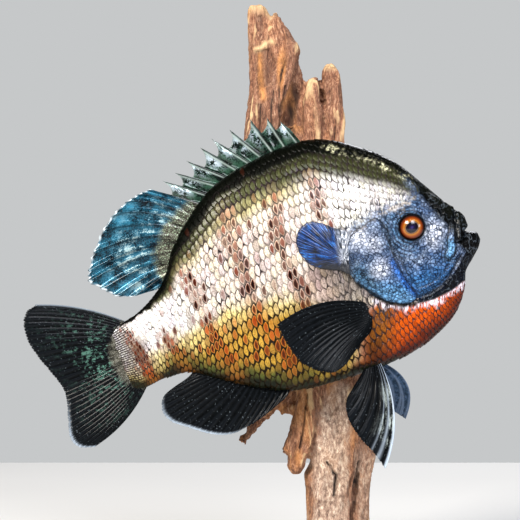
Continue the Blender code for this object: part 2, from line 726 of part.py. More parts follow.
def make_driftwood(shop, seats):
    """The driftwood: a trunk joined with prongs, a lump, a strip and a limb, and hollowed for the fish."""
    wood = timber(shop, "driftwood", TRUNK_LEVELS, 0.4)
    pieces = [
        timber(shop, "add_left_prong", LEFT_PRONG_LEVELS, 1.3),
        timber(shop, "add_recessed_layer", RECESSED_LEVELS, 2.2),
        timber(shop, "add_middle_prong", MIDDLE_PRONG_LEVELS, 3.1),
        timber(shop, "add_right_prong", RIGHT_PRONG_LEVELS, 4.0),
        timber(shop, "add_left_lump", LEFT_LUMP_LEVELS, 5.2),
        timber(shop, "add_right_strip", RIGHT_STRIP_LEVELS, 6.1),
        limb(shop, "add_limb", LIMB_PATH, 0.0),
        limb(shop, "add_stub", STUB_PATH, 1.7),
    ]
    for piece in pieces:
        boolean(wood, "UNION", shop.as_cutter(piece))
    bpy.ops.mesh.primitive_cube_add(size=0.6, location=(0.0, 0.3, 0.0))
    wall = bpy.context.object
    wall.name = "cut_wall"
    shop.take(wall)
    boolean(wood, "DIFFERENCE", shop.as_cutter(wall))
    for seat in seats:
        boolean(wood, "DIFFERENCE", seat)


def main():
    clear_scene()
    shop = Workshop()
    flank = flank_reader(shop)
    body_clear = shop.as_cutter(body_mesh(shop, "cut_body_clear", None, swell=GAP))
    head = make_body(shop)
    make_eyes(shop, flank, head)
    seats = [body_clear] + make_gill_plates(shop, flank, body_clear)
    spiny_dorsal(shop, body_clear)
    make_middle_fins(shop, body_clear)
    make_paired_fins(shop, flank, body_clear)
    make_driftwood(shop, seats)


if __name__ == "__main__":
    main()
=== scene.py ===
"""Mounted bluegill on driftwood: the finished look of a large breeding male, head up, on a weathered log.

World frame, metres: +X to the viewer's right, +Z up, +Y into the wall. The fish has a frame of its own,
in millimetres, whose origin is the tip of the snout:
    s  distance towards the tail, along the body's axis
    t  distance towards the back
    w  distance towards the viewer, out of the right flank
"""

import itertools
import logging
import math
from dataclasses import dataclass
from enum import IntEnum
from functools import partial
from typing import Any, Callable, Sequence

import bmesh
import bpy
import numpy as np
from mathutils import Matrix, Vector


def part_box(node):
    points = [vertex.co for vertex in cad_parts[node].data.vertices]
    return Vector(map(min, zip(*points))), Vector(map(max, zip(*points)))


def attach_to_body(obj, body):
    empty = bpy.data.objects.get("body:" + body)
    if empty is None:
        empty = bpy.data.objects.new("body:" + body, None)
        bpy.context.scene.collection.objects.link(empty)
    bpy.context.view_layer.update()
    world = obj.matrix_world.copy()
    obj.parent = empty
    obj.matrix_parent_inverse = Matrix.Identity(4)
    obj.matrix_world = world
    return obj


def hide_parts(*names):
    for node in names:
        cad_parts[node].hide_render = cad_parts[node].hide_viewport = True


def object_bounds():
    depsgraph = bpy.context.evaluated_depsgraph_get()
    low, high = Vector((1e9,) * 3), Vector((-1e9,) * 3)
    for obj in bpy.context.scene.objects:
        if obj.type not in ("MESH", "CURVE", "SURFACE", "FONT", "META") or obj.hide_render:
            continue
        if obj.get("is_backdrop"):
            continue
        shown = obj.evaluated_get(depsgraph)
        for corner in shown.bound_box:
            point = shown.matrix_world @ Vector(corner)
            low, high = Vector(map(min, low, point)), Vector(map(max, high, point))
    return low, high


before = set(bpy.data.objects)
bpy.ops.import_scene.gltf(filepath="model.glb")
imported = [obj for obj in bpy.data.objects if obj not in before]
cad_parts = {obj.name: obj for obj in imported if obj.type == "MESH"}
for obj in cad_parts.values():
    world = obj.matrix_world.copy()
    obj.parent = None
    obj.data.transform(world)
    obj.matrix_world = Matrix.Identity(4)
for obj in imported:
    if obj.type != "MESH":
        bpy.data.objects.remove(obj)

Array = np.ndarray
Points = Sequence[tuple[float, ...]]
Masks = dict[str, Array]
Ramp = Sequence[tuple[float, str]]
Tints = Sequence[tuple[str, str]]
Maker = Callable[..., bpy.types.Node]
Drawn = dict[str, bpy.types.Node]
Piece = bpy.types.Object

MM = 0.001
EYE = (34.4, 18.9)  # the eye's centre, s and t
LOG = logging.getLogger("bluegill")


class Side(IntEnum):
    """A flank of the fish, with the sign that w has there."""

    RIGHT = 1
    LEFT = -1

    @property
    def label(self) -> str:
        """Return the word for it in the names of solids and pieces."""
        return self.name.lower()


# ---- colours and nodes


def linear(code: str) -> tuple[float, ...]:
    """Turn an sRGB hex colour into linear RGBA.

    Args:
        code: The colour as "#RRGGBB".

    Returns:
        Red, green, blue and alpha, each from 0 to 1.
    """
    parts = [int(code[i:i + 2], 16) / 255.0 for i in (1, 3, 5)]
    return (*(c / 12.92 if c <= 0.04045 else ((c + 0.055) / 1.055) ** 2.4 for c in parts), 1.0)


def add(tree: bpy.types.NodeTree, kind: str, inputs: dict[str, Any] | Sequence[Any] = (),
        stops: Ramp = (), **settings: Any) -> bpy.types.Node:
    """Add a shader node with its settings and links.

    Args:
        tree: The material's node tree.
        kind: The node's type, without "ShaderNode".
        inputs: A value, hex colour, node or socket for each input, by name or in order.
        stops: Places and hex colours, for a colour ramp.
        settings: Properties of the node.

    Returns:
        The new node.
    """
    made = tree.nodes.new("ShaderNode" + kind)
    for name, value in settings.items():
        setattr(made, name, value)
    for key, value in inputs.items() if isinstance(inputs, dict) else enumerate(inputs):
        socket = made.inputs[key]
        if isinstance(value, bpy.types.Node):
            value = value.outputs[0]
        if isinstance(value, bpy.types.NodeSocket):
            tree.links.new(value, socket)
        else:
            socket.default_value = linear(value) if isinstance(value, str) else value
    for i, (place, colour) in enumerate(stops):
        ramp = made.color_ramp.elements
        element = ramp[i] if i < 2 else ramp.new(place)
        element.position = place
        element.color = linear(colour)
    return made


def coats(node: Maker, colour: Any, layers: Sequence[tuple[Any, Any, Any]]) -> Any:
    """Lay coats of paint over a colour.

    Args:
        node: Adds a node.
        colour: The colour underneath.
        layers: Each coat's mask, the pattern that breaks it up or None, and its tint.

    Returns:
        The colour on top.
    """
    for mask, pattern, tint in layers:
        if pattern is not None:
            mask = node("Math", (mask, pattern), operation="MULTIPLY", use_clamp=True)
        colour = node("MixRGB", (mask, colour, tint))
    return colour


def shades(node: Maker, colour: Any, layers: Sequence[tuple[Any, Any, Ramp]]) -> Any:
    """Darken a colour with patterns.

    Args:
        node: Adds a node.
        colour: The colour underneath.
        layers: Each pattern's strength, its value and its ramp from dark to white.

    Returns:
        The colour on top.
    """
    for strength, value, stops in layers:
        ramp = node("ValToRGB", (value,), stops)
        colour = node("MixRGB", (strength, colour, ramp), blend_type="MULTIPLY")
    return colour


class MaskNodes(dict):
    """The point values that a finish reads, each by a node made when it is first asked for."""

    def __init__(self, node: Maker) -> None:
        """Keep what adds a node."""
        super().__init__()
        self.node = node

    def __missing__(self, name: str) -> bpy.types.NodeSocket:
        """Make the node of one mask.

        Args:
            name: The mask's name.

        Returns:
            The socket that gives its value.
        """
        self[name] = self.node("Attribute", attribute_name=name).outputs["Fac"]
        return self[name]


@dataclass(frozen=True)
class Finish:
    """What every finish has: a name and the values of its shader."""

    name: str = "finish"
    roughness: float = 0.4
    metallic: float = 0.0
    ior: float = 1.5
    specular: float = 0.5
    coat: float = 0.0
    coat_roughness: float = 0.05

    def material(self) -> bpy.types.Material:
        """Return the material, made once and then found by its name."""
        return bpy.data.materials.get(self.name) or self.make()

    def make(self) -> bpy.types.Material:
        """Make the material, with its shader's plain values set and its pattern drawn.

        Returns:
            The new material.
        """
        made = bpy.data.materials.new(self.name)
        made.use_nodes = True
        tree = made.node_tree
        shader = tree.nodes["Principled BSDF"]
        for name, value in (("Roughness", self.roughness), ("Metallic", self.metallic), ("IOR", self.ior),
                            ("Specular IOR Level", self.specular), ("Coat Weight", self.coat),
                            ("Coat Roughness", self.coat_roughness)):
            shader.inputs[name].default_value = value
        node = partial(add, tree)
        for name, drawn in self.draw(node, MaskNodes(node)).items():
            tree.links.new(drawn.outputs[0], shader.inputs[name])
        return made

    def draw(self, node: Maker, mask: MaskNodes) -> Drawn:
        """Draw the finish's pattern.

        Args:
            node: Adds a node.
            mask: The piece's point values.

        Returns:
            A node for each input of the shader.
        """
        raise NotImplementedError


# ---- numbers and shapes


@dataclass(frozen=True)
class Grit:
    """Smooth random noise in space, the same on each run."""

    seed: int = 1

    def at(self, points: Array) -> Array:
        """Return noise from -1 to 1.

        Args:
            points: Places as an (n, 3) array, where one unit is one lump.

        Returns:
            One value for each place.
        """
        cell = np.floor(points).astype(np.int64)
        part = points - cell
        ease = part * part * (3 - 2 * part)
        total = np.zeros(len(points))
        for corner in itertools.product((0, 1), repeat=3):
            key = (cell + corner) @ np.array([73856093, 19349663, 83492791]) + 6971 * self.seed
            key = (key ^ (key >> 13)) * 1274126177
            key = key ^ (key >> 16)
            weight = np.prod(np.where(corner, ease, 1 - ease), axis=1)
            total += weight * ((key & 0xFFFF) / 32767.5 - 1)
        return total

    def layered(self, points: Array, octaves: int = 3) -> Array:
        """Return noise with finer and finer layers.

        Args:
            points: Places as an (n, 3) array.
            octaves: How many layers, each half as large and half as strong as the last.

        Returns:
            One value for each place, mostly from -1 to 1.
        """
        return sum(0.5 ** k * self.at(points * 2 ** k + 17.3 * k) for k in range(octaves)) / 1.4


def through(points: Points, share: Array) -> Array:
    """Find places on a smooth curve through the given points.

    Args:
        points: The curve's points.
        share: Places along it, from 0 to 1, evenly from point to point.

    Returns:
        An array with a row for each place.
    """
    known = np.array(points, float)
    last = len(known) - 1
    place = np.clip(share, 0, 1) * last
    i = np.minimum(place.astype(int), last - 1)
    f = (place - i)[..., None]
    whole = np.vstack([2 * known[0] - known[1], known, 2 * known[-1] - known[-2]])
    p0, p1, p2, p3 = (whole[i + k] for k in range(4))
    bow = 2 * p0 - 5 * p1 + 4 * p2 - p3
    twist = 3 * p1 - p0 - 3 * p2 + p3
    return 0.5 * (2 * p1 + (p2 - p0) * f + bow * f * f + twist * f ** 3)


def smooth(low: float, high: float, value: Array) -> Array:
    """Rise smoothly from 0 at low to 1 at high."""
    x = np.clip((value - low) / (high - low), 0, 1)
    return x * x * (3 - 2 * x)


def bump(value: Array, width: float) -> Array:
    """Return a round bump, 1 where value is 0, that has gone at about twice the width."""
    return np.exp(-0.5 * (value / width) ** 2)


def nearest(line: Points, s: Array, t: Array) -> Array:
    """Measure how far each place is from a line.

    Args:
        line: The corners of an open line, as (s, t).
        s: The places' distance from the snout.
        t: The places' height.

    Returns:
        The distance of each place.
    """
    best = np.full(np.shape(s), 1e9)
    for (s0, t0), (s1, t1) in zip(line, line[1:]):
        ds, dt = s1 - s0, t1 - t0
        share = np.clip(((s - s0) * ds + (t - t0) * dt) / (ds * ds + dt * dt), 0, 1)
        best = np.minimum(best, np.hypot(s - s0 - share * ds, t - t0 - share * dt))
    return best


def depth_in(outline: Points, s: Array, t: Array) -> Array:
    """Measure how far inside a closed outline each place is.

    Args:
        outline: The outline's corners, as (s, t).
        s: The places' distance from the snout.
        t: The places' height.

    Returns:
        The distance to the outline, above 0 inside and below 0 outside.
    """
    inside = np.zeros(np.shape(s), bool)
    for (s0, t0), (s1, t1) in zip(outline, [*outline[1:], outline[0]]):
        crosses = (t0 > t) != (t1 > t)
        rise = np.where(t1 == t0, 1, t1 - t0)
        inside ^= crosses & (s < (s1 - s0) * (t - t0) / rise + s0)
    away = nearest([*outline, outline[0]], s, t)
    return np.where(inside, away, -away)


def grid_faces(rows: int, columns: int, closed: bool = False, start: int = 0) -> Array:
    """List the quads of a grid of points.

    Args:
        rows: Rows of points.
        columns: Points in each row.
        closed: Whether each row is a ring.
        start: The number of the first point.

    Returns:
        An (n, 4) array of point numbers.
    """
    r, c = np.meshgrid(np.arange(rows - 1), np.arange(columns if closed else columns - 1), indexing="ij")
    a = (r * columns + c).ravel()
    b = (r * columns + (c + 1) % columns).ravel()
    return start + np.stack([a, b, b + columns, a + columns], axis=1)


def closed_up(front: Array, size: int, rim: Array) -> Array:
    """Add a back and an edge to a sheet's quads.

    Args:
        front: The quads of its front.
        size: How many points the front has; the back's points follow in the same order.
        rim: The front's border points, in the order that its quads go round.

    Returns:
        An (n, 4) array of point numbers.
    """
    after = np.roll(rim, -1)
    edge = np.stack([after, rim, size + rim, size + after], axis=1)
    return np.concatenate([front, front[:, ::-1] + size, edge])


def sheet_faces(rows: int, columns: int) -> Array:
    """List the quads of a closed thin sheet of rows by columns points on each side."""
    rim = [*range(columns), *(r * columns + columns - 1 for r in range(1, rows)),
           *((rows - 1) * columns + c for c in range(columns - 2, -1, -1)),
           *(r * columns for r in range(rows - 2, 0, -1))]
    return closed_up(grid_faces(rows, columns), rows * columns, np.array(rim))


def disc_faces(rings: int, around: int) -> Array:
    """List the quads of a closed thin disc, its rings from the middle outwards."""
    outer = np.arange(around)[::-1] + (rings - 1) * around
    return closed_up(grid_faces(rings, around, closed=True), rings * around, outer)


def mesh_object(name: str, points: Array, faces: Array | Sequence, finish: Finish,
                masks: Masks | None = None) -> Piece:
    """Make a smooth-shaded mesh object.

    Args:
        name: The piece's name.
        points: Its points in metres, in the world frame.
        faces: Its faces as lists of point numbers.
        finish: What it is finished with.
        masks: Values for its points, by the name that the finish reads.

    Returns:
        The new object.
    """
    mesh = bpy.data.meshes.new(name)
    mesh.from_pydata(points.tolist(), [], faces.tolist() if isinstance(faces, Array) else faces)
    for key, values in (masks or {}).items():
        mesh.attributes.new(key, "FLOAT", "POINT").data.foreach_set("value", np.ravel(values).astype(np.float32))
    mesh.shade_smooth()
    mesh.materials.append(finish.material())
    made = bpy.data.objects.new(name, mesh)
    bpy.context.scene.collection.objects.link(made)
    return made


def attach(piece: Piece, slot: str, *nodes: str) -> Piece:
    """Fix a piece to the model and report it.

    Args:
        piece: The new piece.
        slot: The record's material slot that it shows.
        nodes: The solids that it stands for.

    Returns:
        The piece.
    """
    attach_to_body(piece, "root")
    if nodes:
        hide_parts(*nodes)
    LOG.info("%s: %d faces, slot %s", piece.name, len(piece.data.polygons), slot)
    return piece


# ---- the fish's frame and body


@dataclass(frozen=True)
class Pose:
    """Where the fish's own frame lies in the world."""

    snout: tuple[float, float, float]
    tilt: float = math.radians(19)
    ahead: float = 12  # the snout's tip in front of the head's solid, mm
    above: float = 35.1  # and over its lowest point
    bend_start: float = 120
    bend_length: float = 130
    tail_bend: float = 10

    @classmethod
    def of_frame(cls) -> "Pose":
        """Return the pose, found from the head's box."""
        low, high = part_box("head")
        return cls((high.x / MM + cls.ahead, 0.5 * (low.y + high.y) / MM, low.z / MM + cls.above))

    def world(self, s: Array, t: Array, w: Array) -> Array:
        """Turn places in the fish's frame into points of the world.

        Args:
            s: Distance towards the tail, mm.
            t: Distance towards the back, mm.
            w: Distance towards the viewer, mm.

        Returns:
            An (n, 3) array in metres.
        """
        c, d = math.cos(self.tilt), math.sin(self.tilt)
        s, t, w = np.broadcast_arrays(s, t, w)
        x, y, z = self.snout
        return MM * np.stack([x - c * s - d * t, y - w, z - d * s + c * t], axis=-1).reshape(-1, 3)

    def bend(self, s: Array) -> Array:
        """Return how far the middle plane has swung towards the viewer at s."""
        past = np.maximum(0, s - self.bend_start) / self.bend_length
        return self.tail_bend * past * past


@dataclass(frozen=True)
class BodyForm:
    """The fish's body under its scales, as a smooth loft from lips to tail fin."""

    pose: Pose
    inset: float = 0.75  # depth of the scales over the skin, mm
    widest: float = 0.45  # height of the widest level, as a share of the depth
    stations: Points = (  # back s, t; belly s, t; half width
        (3, 16, 0, -0.6, 3.2), (5.2, 18.9, 2.7, -4.6, 6), (9.5, 23.2, 7.8, -9.2, 8.4),
        (15, 32.4, 13.6, -14.8, 10.6), (20.7, 41.6, 16.6, -22.6, 12.4),
        (28.1, 53.7, 23.5, -31.8, 14.4), (36.8, 63, 32, -38.2, 16.2),
        (50.4, 73.4, 46, -44.4, 18.4), (65, 81.5, 62, -47.7, 20),
        (81.5, 84.5, 82, -48.4, 20.4), (100, 83.3, 103, -47.8, 19.6),
        (118, 80.1, 122, -45.5, 17.6), (134, 73.9, 138, -39.4, 15.4),
        (149, 62.8, 152, -31, 13), (161, 51.8, 163, -24, 10.8),
        (170.8, 37.4, 171, -18.4, 9.2), (181, 29, 180.5, -16.1, 8),
        (192, 23.7, 191, -16.2, 6.6), (202, 21.6, 200, -17.4, 4.4),
        (209, 20, 207, -16.8, 1.8),
    )

    @property
    def last(self) -> int:
        """Return the number of the last station."""
        return len(self.stations) - 1

    def place(self, along: Array, angle: Array) -> tuple[Array, ...]:
        """Find places on the skin.

        Args:
            along: Station numbers, with parts of one.
            angle: Angle round the body: -90 degrees is the belly, 0 the right flank, 90 the back.

        Returns:
            s, t and w in millimetres, the level from 0 at the belly to 1 at the back, and the depth there.
        """
        row = through(self.stations, np.asarray(along) / self.last)
        back, belly, half = row[..., 0:2], row[..., 2:4], row[..., 4]
        span = np.linalg.norm(back - belly, axis=-1)
        trim = (self.inset / span)[..., None] * (back - belly)
        back, belly = back - trim, belly + trim
        ends = np.clip(np.asarray(along) / 0.55, 0, 1) * np.clip((self.last - along) / 0.3, 0, 1)
        half = (half - self.inset) * np.sqrt(1 - (1 - ends) ** 2)
        rise, side = np.sin(angle), np.cos(angle)
        level = self.widest + np.where(rise > 0, 1 - self.widest, self.widest) * rise
        out = half * np.copysign(np.abs(side) ** np.where(rise > 0, 1.12, 0.96), side)
        spot = belly + level[..., None] * (back - belly)
        s, t = spot[..., 0], spot[..., 1]
        return s, t, self.pose.bend(s) + out, level, np.broadcast_to(span, level.shape)


class Flank:
    """Reads how far a surface stands from the middle plane."""

    def __init__(self, form: BodyForm) -> None:
        """Lay out the body's surface on each side.

        Args:
            form: The body's form.
        """
        self.form = form
        along, angle = np.meshgrid(np.linspace(0, form.last, 300), np.linspace(-1.55, 1.55, 240))
        self.s, self.t, self.w, _, _ = (a.ravel() for a in form.place(along, angle))
        self.w = self.w - form.pose.bend(self.s)

    def at(self, s: Array, t: Array) -> Array:
        """Return the distance of the skin from the middle plane at each place.

        Args:
            s: Distance towards the tail, mm.
            t: Distance towards the back, mm.

        Returns:
            The distances, mm, the same on both sides.
        """
        flat_s, flat_t = np.ravel(s), np.ravel(t)
        found = np.empty(flat_s.shape)
        for i, (one_s, one_t) in enumerate(zip(flat_s, flat_t)):
            away = (self.s - one_s) ** 2 + (self.t - one_t) ** 2
            near = np.argpartition(away, 6)[:6]
            weight = 1 / (away[near] + 0.02)
            found[i] = np.sum(weight * self.w[near]) / np.sum(weight)
        return found.reshape(np.shape(s))


# ---- markings and the head's forms


@dataclass(frozen=True)
class Markings:
    """The painted pattern of a breeding male, with painted highlights and shade among it, the same for skin and
    scales. Lines are (s, t), mm.
    """

    grit: Grit = Grit(5)
    bars: tuple[tuple[float, float, Points], ...] = (  # half width, strength, then the bar's line
        (3.2, 1, ((76.4, 62), (77.4, 43), (78, 34))),
        (4, 1, ((99, 58), (105, 30), (103, 22), (101.5, 2), (101, -6))),
        (4.6, 1, ((126, 58), (128, 36), (128, 16), (126.6, -2), (121, -20), (119.6, -34))),
        (4.2, 0.95, ((159, 36), (156.5, 19), (155.5, 5), (152, -14), (150, -26))),
        (4, 0.85, ((180, 6), (175, -9), (173, -20))),
        (3.8, 0.95, ((198.5, 12), (195, -9), (193, -14))),
    )
    head_line: Points = (
        (25, 80), (25, 42.3), (23.4, 38.3), (24.2, 35.5), (28.2, 33.2), (33, 31), (44.2, 31.2), (52, 31),
        (59, 28.4), (65.4, 27), (73, 23), (77.4, 15), (76, 8), (73.4, -1), (68.2, -8.6), (62.6, -14.6),
        (54.6, -19.2), (46.8, -21), (35.5, -22), (24.6, -20.6), (17.5, -18.2), (12, -18), (-12, -18), (-12, 80),
    )
    gill_edge: Points = (
        (75.6, 8.4), (73, -0.5), (67.8, -8), (62.2, -14), (54.2, -18.6), (47.5, -20.6), (36, -21.4), (24.6, -20),
        (16.3, -18.6), (4, -13),
    )
    strand: Points = ((83, 16.5), (77.1, 7.4), (72.7, 0), (66.5, -7.4), (60.5, -15.2), (53.2, -19.5), (46, -20.9))
    drop: Points = ((17.2, 4), (18.6, 0), (20, -2.4))
    royal: Points = ((50.4, 5), (49.4, -1.6), (47.6, -8.1), (44.6, -15.4))
    sky: Points = ((70, 4), (67, -3), (61, -9.4), (54, -14), (48, -16))
    hot: Points = ((23, 12.6, 3.4), (26.2, 8.6, 2.2), (64, 22.6, 3.4), (57.5, 18, 3), (58, 3.5, 3.2))  # s, t, size
    glints: Points = ((64.1, 75.6), (57.2, 70.3), (50.3, 65), (43.2, 60.3), (36.7, 53.9), (30.1, 47.6), (25, 42.3))
    lip_line: Points = (
        (26, 48), (23, 35), (21.4, 29.4), (17.8, 22.4), (14.6, 15.8), (13, 9.7), (13.6, 3), (9, -5), (2, -12))
    jaw_line: Points = (
        (0, 2), (8, -1.5), (13, -5), (19.6, -10.5), (23.6, -13.4), (28.7, -16.2), (36.4, -18.2), (46, -18.6))

    def masks(self, s: Array, t: Array, level: Array, span: Array) -> Masks:
        """Return how strongly each marking shows at each place.

        Args:
            s: Distance towards the tail, mm.
            t: Distance towards the back, mm.
            level: Height as a share of the body's depth.
            span: The body's depth there, mm.

        Returns:
            Values from 0 to 1, by the marking's name.
        """
        flat = np.stack([s, t, 9 * level], axis=-1).reshape(-1, 3)
        rough, fine, sparse = (noise.reshape(np.shape(s)) for noise in (
            self.grit.layered(flat / 9), self.grit.at(flat / 2.1), self.grit.at(flat / 1.3)))
        down = (1 - level) * span + 2.2 * rough + 0.8 * fine
        up = level * span + 3.2 * rough
        rear = smooth(112, 150, s)
        # the face, and the bars behind it
        soft = 0.6 + 2.2 * smooth(20, 28, t) * smooth(25, 30, s)
        face = smooth(-soft, soft, depth_in(self.head_line, s, t) + 1.5 * (soft - 0.6) * fine)
        flank = 1 - face
        bars = np.zeros(np.shape(s))
        for half, strength, line in self.bars:
            away = np.maximum(nearest(line, s, t) + 1.6 * rough, 0)
            bars = np.maximum(bars, strength * bump(away, 0.7 * half))
        bars = bars * flank
        # breast and belly, back and flank
        breast = flank * smooth(-26, -14, -t + 3 * rough) * smooth(12.5, 17, -t + 0.35 * np.maximum(0, 62 - s))
        breast = breast * (1 - smooth(-7, 8, s + 0.55 * (t + 34) + 4 * rough - 79))
        ragged = np.maximum(3 + 2.2 * fine + 1.3 * rough, 0.6)
        fringe = flank * (1 - smooth(0, 1, nearest(self.gill_edge, s, t) / ragged - 0.4)) * (t < -11)
        scale = np.interp(s, (25, 50, 85, 120, 152, 174, 190), (0.95, 1.1, 1.1, 1, 1, 0.5, 0.22))
        band = np.where(face > 0.5, 11 + 3 * smooth(52, 18, s), 12 * scale)
        warm = t + 4 * rough - np.interp(s, (84, 100, 115, 140, 165, 182, 200), (-12, -2, 7, 8, 4, 1, -8))
        slope = s + 0.4 * (t + 20)
        lines = np.clip(0.62 + 0.5 * np.sin(math.tau * (30 * level + 0.7 * rough)), 0, 1)
        # rings behind the eye, painted highlight spots and the dark lips
        aside = np.hypot(s - EYE[0], t - EYE[1])
        behind = smooth(-9, 5, s - EYE[0] + 0.35 * (t - EYE[1]))
        rings = behind * smooth(21, 13, aside)
        ringing = np.sin(math.tau * (aside + 0.8 * rough) / 2.1)
        # painted highlights: bright spots before the eye and on the gill cover, and a line along the jaw crease
        hot = 0.25 * bump(nearest(self.jaw_line[2:-1], s, t) - 0.3, 0.3)
        for highlight_s, highlight_t, size in self.hot:
            hot = np.maximum(hot, bump(np.hypot(s - highlight_s, t - highlight_t) + 1.5 * rough, size))
        jaw = t - np.interp(s, *np.array(self.jaw_line).T) + 0.8 * rough
        lip_t, lip_s = np.array(self.lip_line)[::-1, ::-1].T
        lip = s - np.interp(t, lip_t, lip_s) - 1.8 * smooth(4, 12, t) + 1.1 * rough
        return {
            "face": face,
            "bars": bars,
            "back": 1 - smooth(0.5 * band, band, down),
            "moss": smooth(34 * scale, 20 * scale, down + 7 * rear) * smooth(70, 100, s),
            "olive": 1 - smooth(14 * scale, 27 * scale, down + 3 * rear),
            "blush": 0.5 * smooth(17, 6, np.hypot(s - 91, 0.8 * (t - 4)) + 3 * rough),
            # pale pearl paint, painted whiter as the highlight on the shoulder and on the upper tail root
            "silver": smooth(100, 60, s + 0.3 * rough) * smooth(12, 34, t)
                + smooth(140, 175, s) * smooth(-6, 8, t + 3 * rough),
            "straw": smooth(7, -6, warm) * smooth(66, 88, slope),
            "gold": smooth(-1, -16, warm) * smooth(68, 92, slope),
            "stub": smooth(193, 203, s + 2 * rough) * lines,
            "smudge": np.clip(1.5 * bars, 0, 1) * smooth(165, 190, s) * smooth(0, 0.3, rough + 0.8 * fine)
                * smooth(11, 6, t),
            # dark strands from the ear flap's root, and a broad painted shade under the flap
            "strand": np.maximum(0.95 * bump(np.maximum(nearest(self.strand, s, t) + 0.5 * fine, 0), 1.1),
                                 0.6 * smooth(17, 4, nearest(self.strand[:3], s, t) + 2 * rough)),
            "wrinkle": (1 - 0.5 * face) * np.maximum(
                smooth(15, 6, nearest(self.gill_edge[:4], s, t)) * smooth(30, 16, t),
                smooth(16, 4, nearest(self.head_line[4:10], s, t)) * smooth(22, 30, t)),
            "moist": 0.9 * smooth(19, 7, up) * smooth(96, 118, s) * smooth(196, 176, s),
            # the belly's dark keel paint, deepened as painted shade along the underside
            "keel": 1 - smooth(1, 7.5, up - smooth(95, 130, s) + 4 * smooth(80, 60, s)),
            "breast": breast,
            # the breast darker towards its underside: its paint, deepened as painted shade
            "ember": breast * (1 - smooth(-2, 16, up)),
            # ochre paint, with the painted shadow of the pectoral fin's base over the rear of the breast
            "ochre": breast * smooth(52, 72, s + 0.5 * (t + 30)),
            "fringe": fringe * smooth(73, 66, s),
            "royal": 0.8 * face * bump(nearest(self.royal, s, t), 1.5),
            "sky": face * np.max([bump(nearest(self.sky, s, t), 3.4), bump(nearest(self.drop, s, t), 1.8),
                                  0.45 * rings * smooth(0, -0.8, ringing)], axis=0),
            "blue": face * smooth(4, -13, t + 3 * rough) * smooth(14, 22, s),
            "lip": face * smooth(2.4, -2.4, lip),
            "jaw": face * smooth(1, -1, jaw) * smooth(50, 44, s),
            "orbit": face * np.maximum(smooth(12, 8.6, aside) * (0.35 + 0.4 * behind),
                                       0.75 * rings * smooth(-0.1, 0.8, ringing)),
            "hot": face * hot,
            "glint": bump(nearest(self.glints, s, t) + 1.3 * fine, 0.9) * smooth(-0.1, 0.5, sparse),
        }


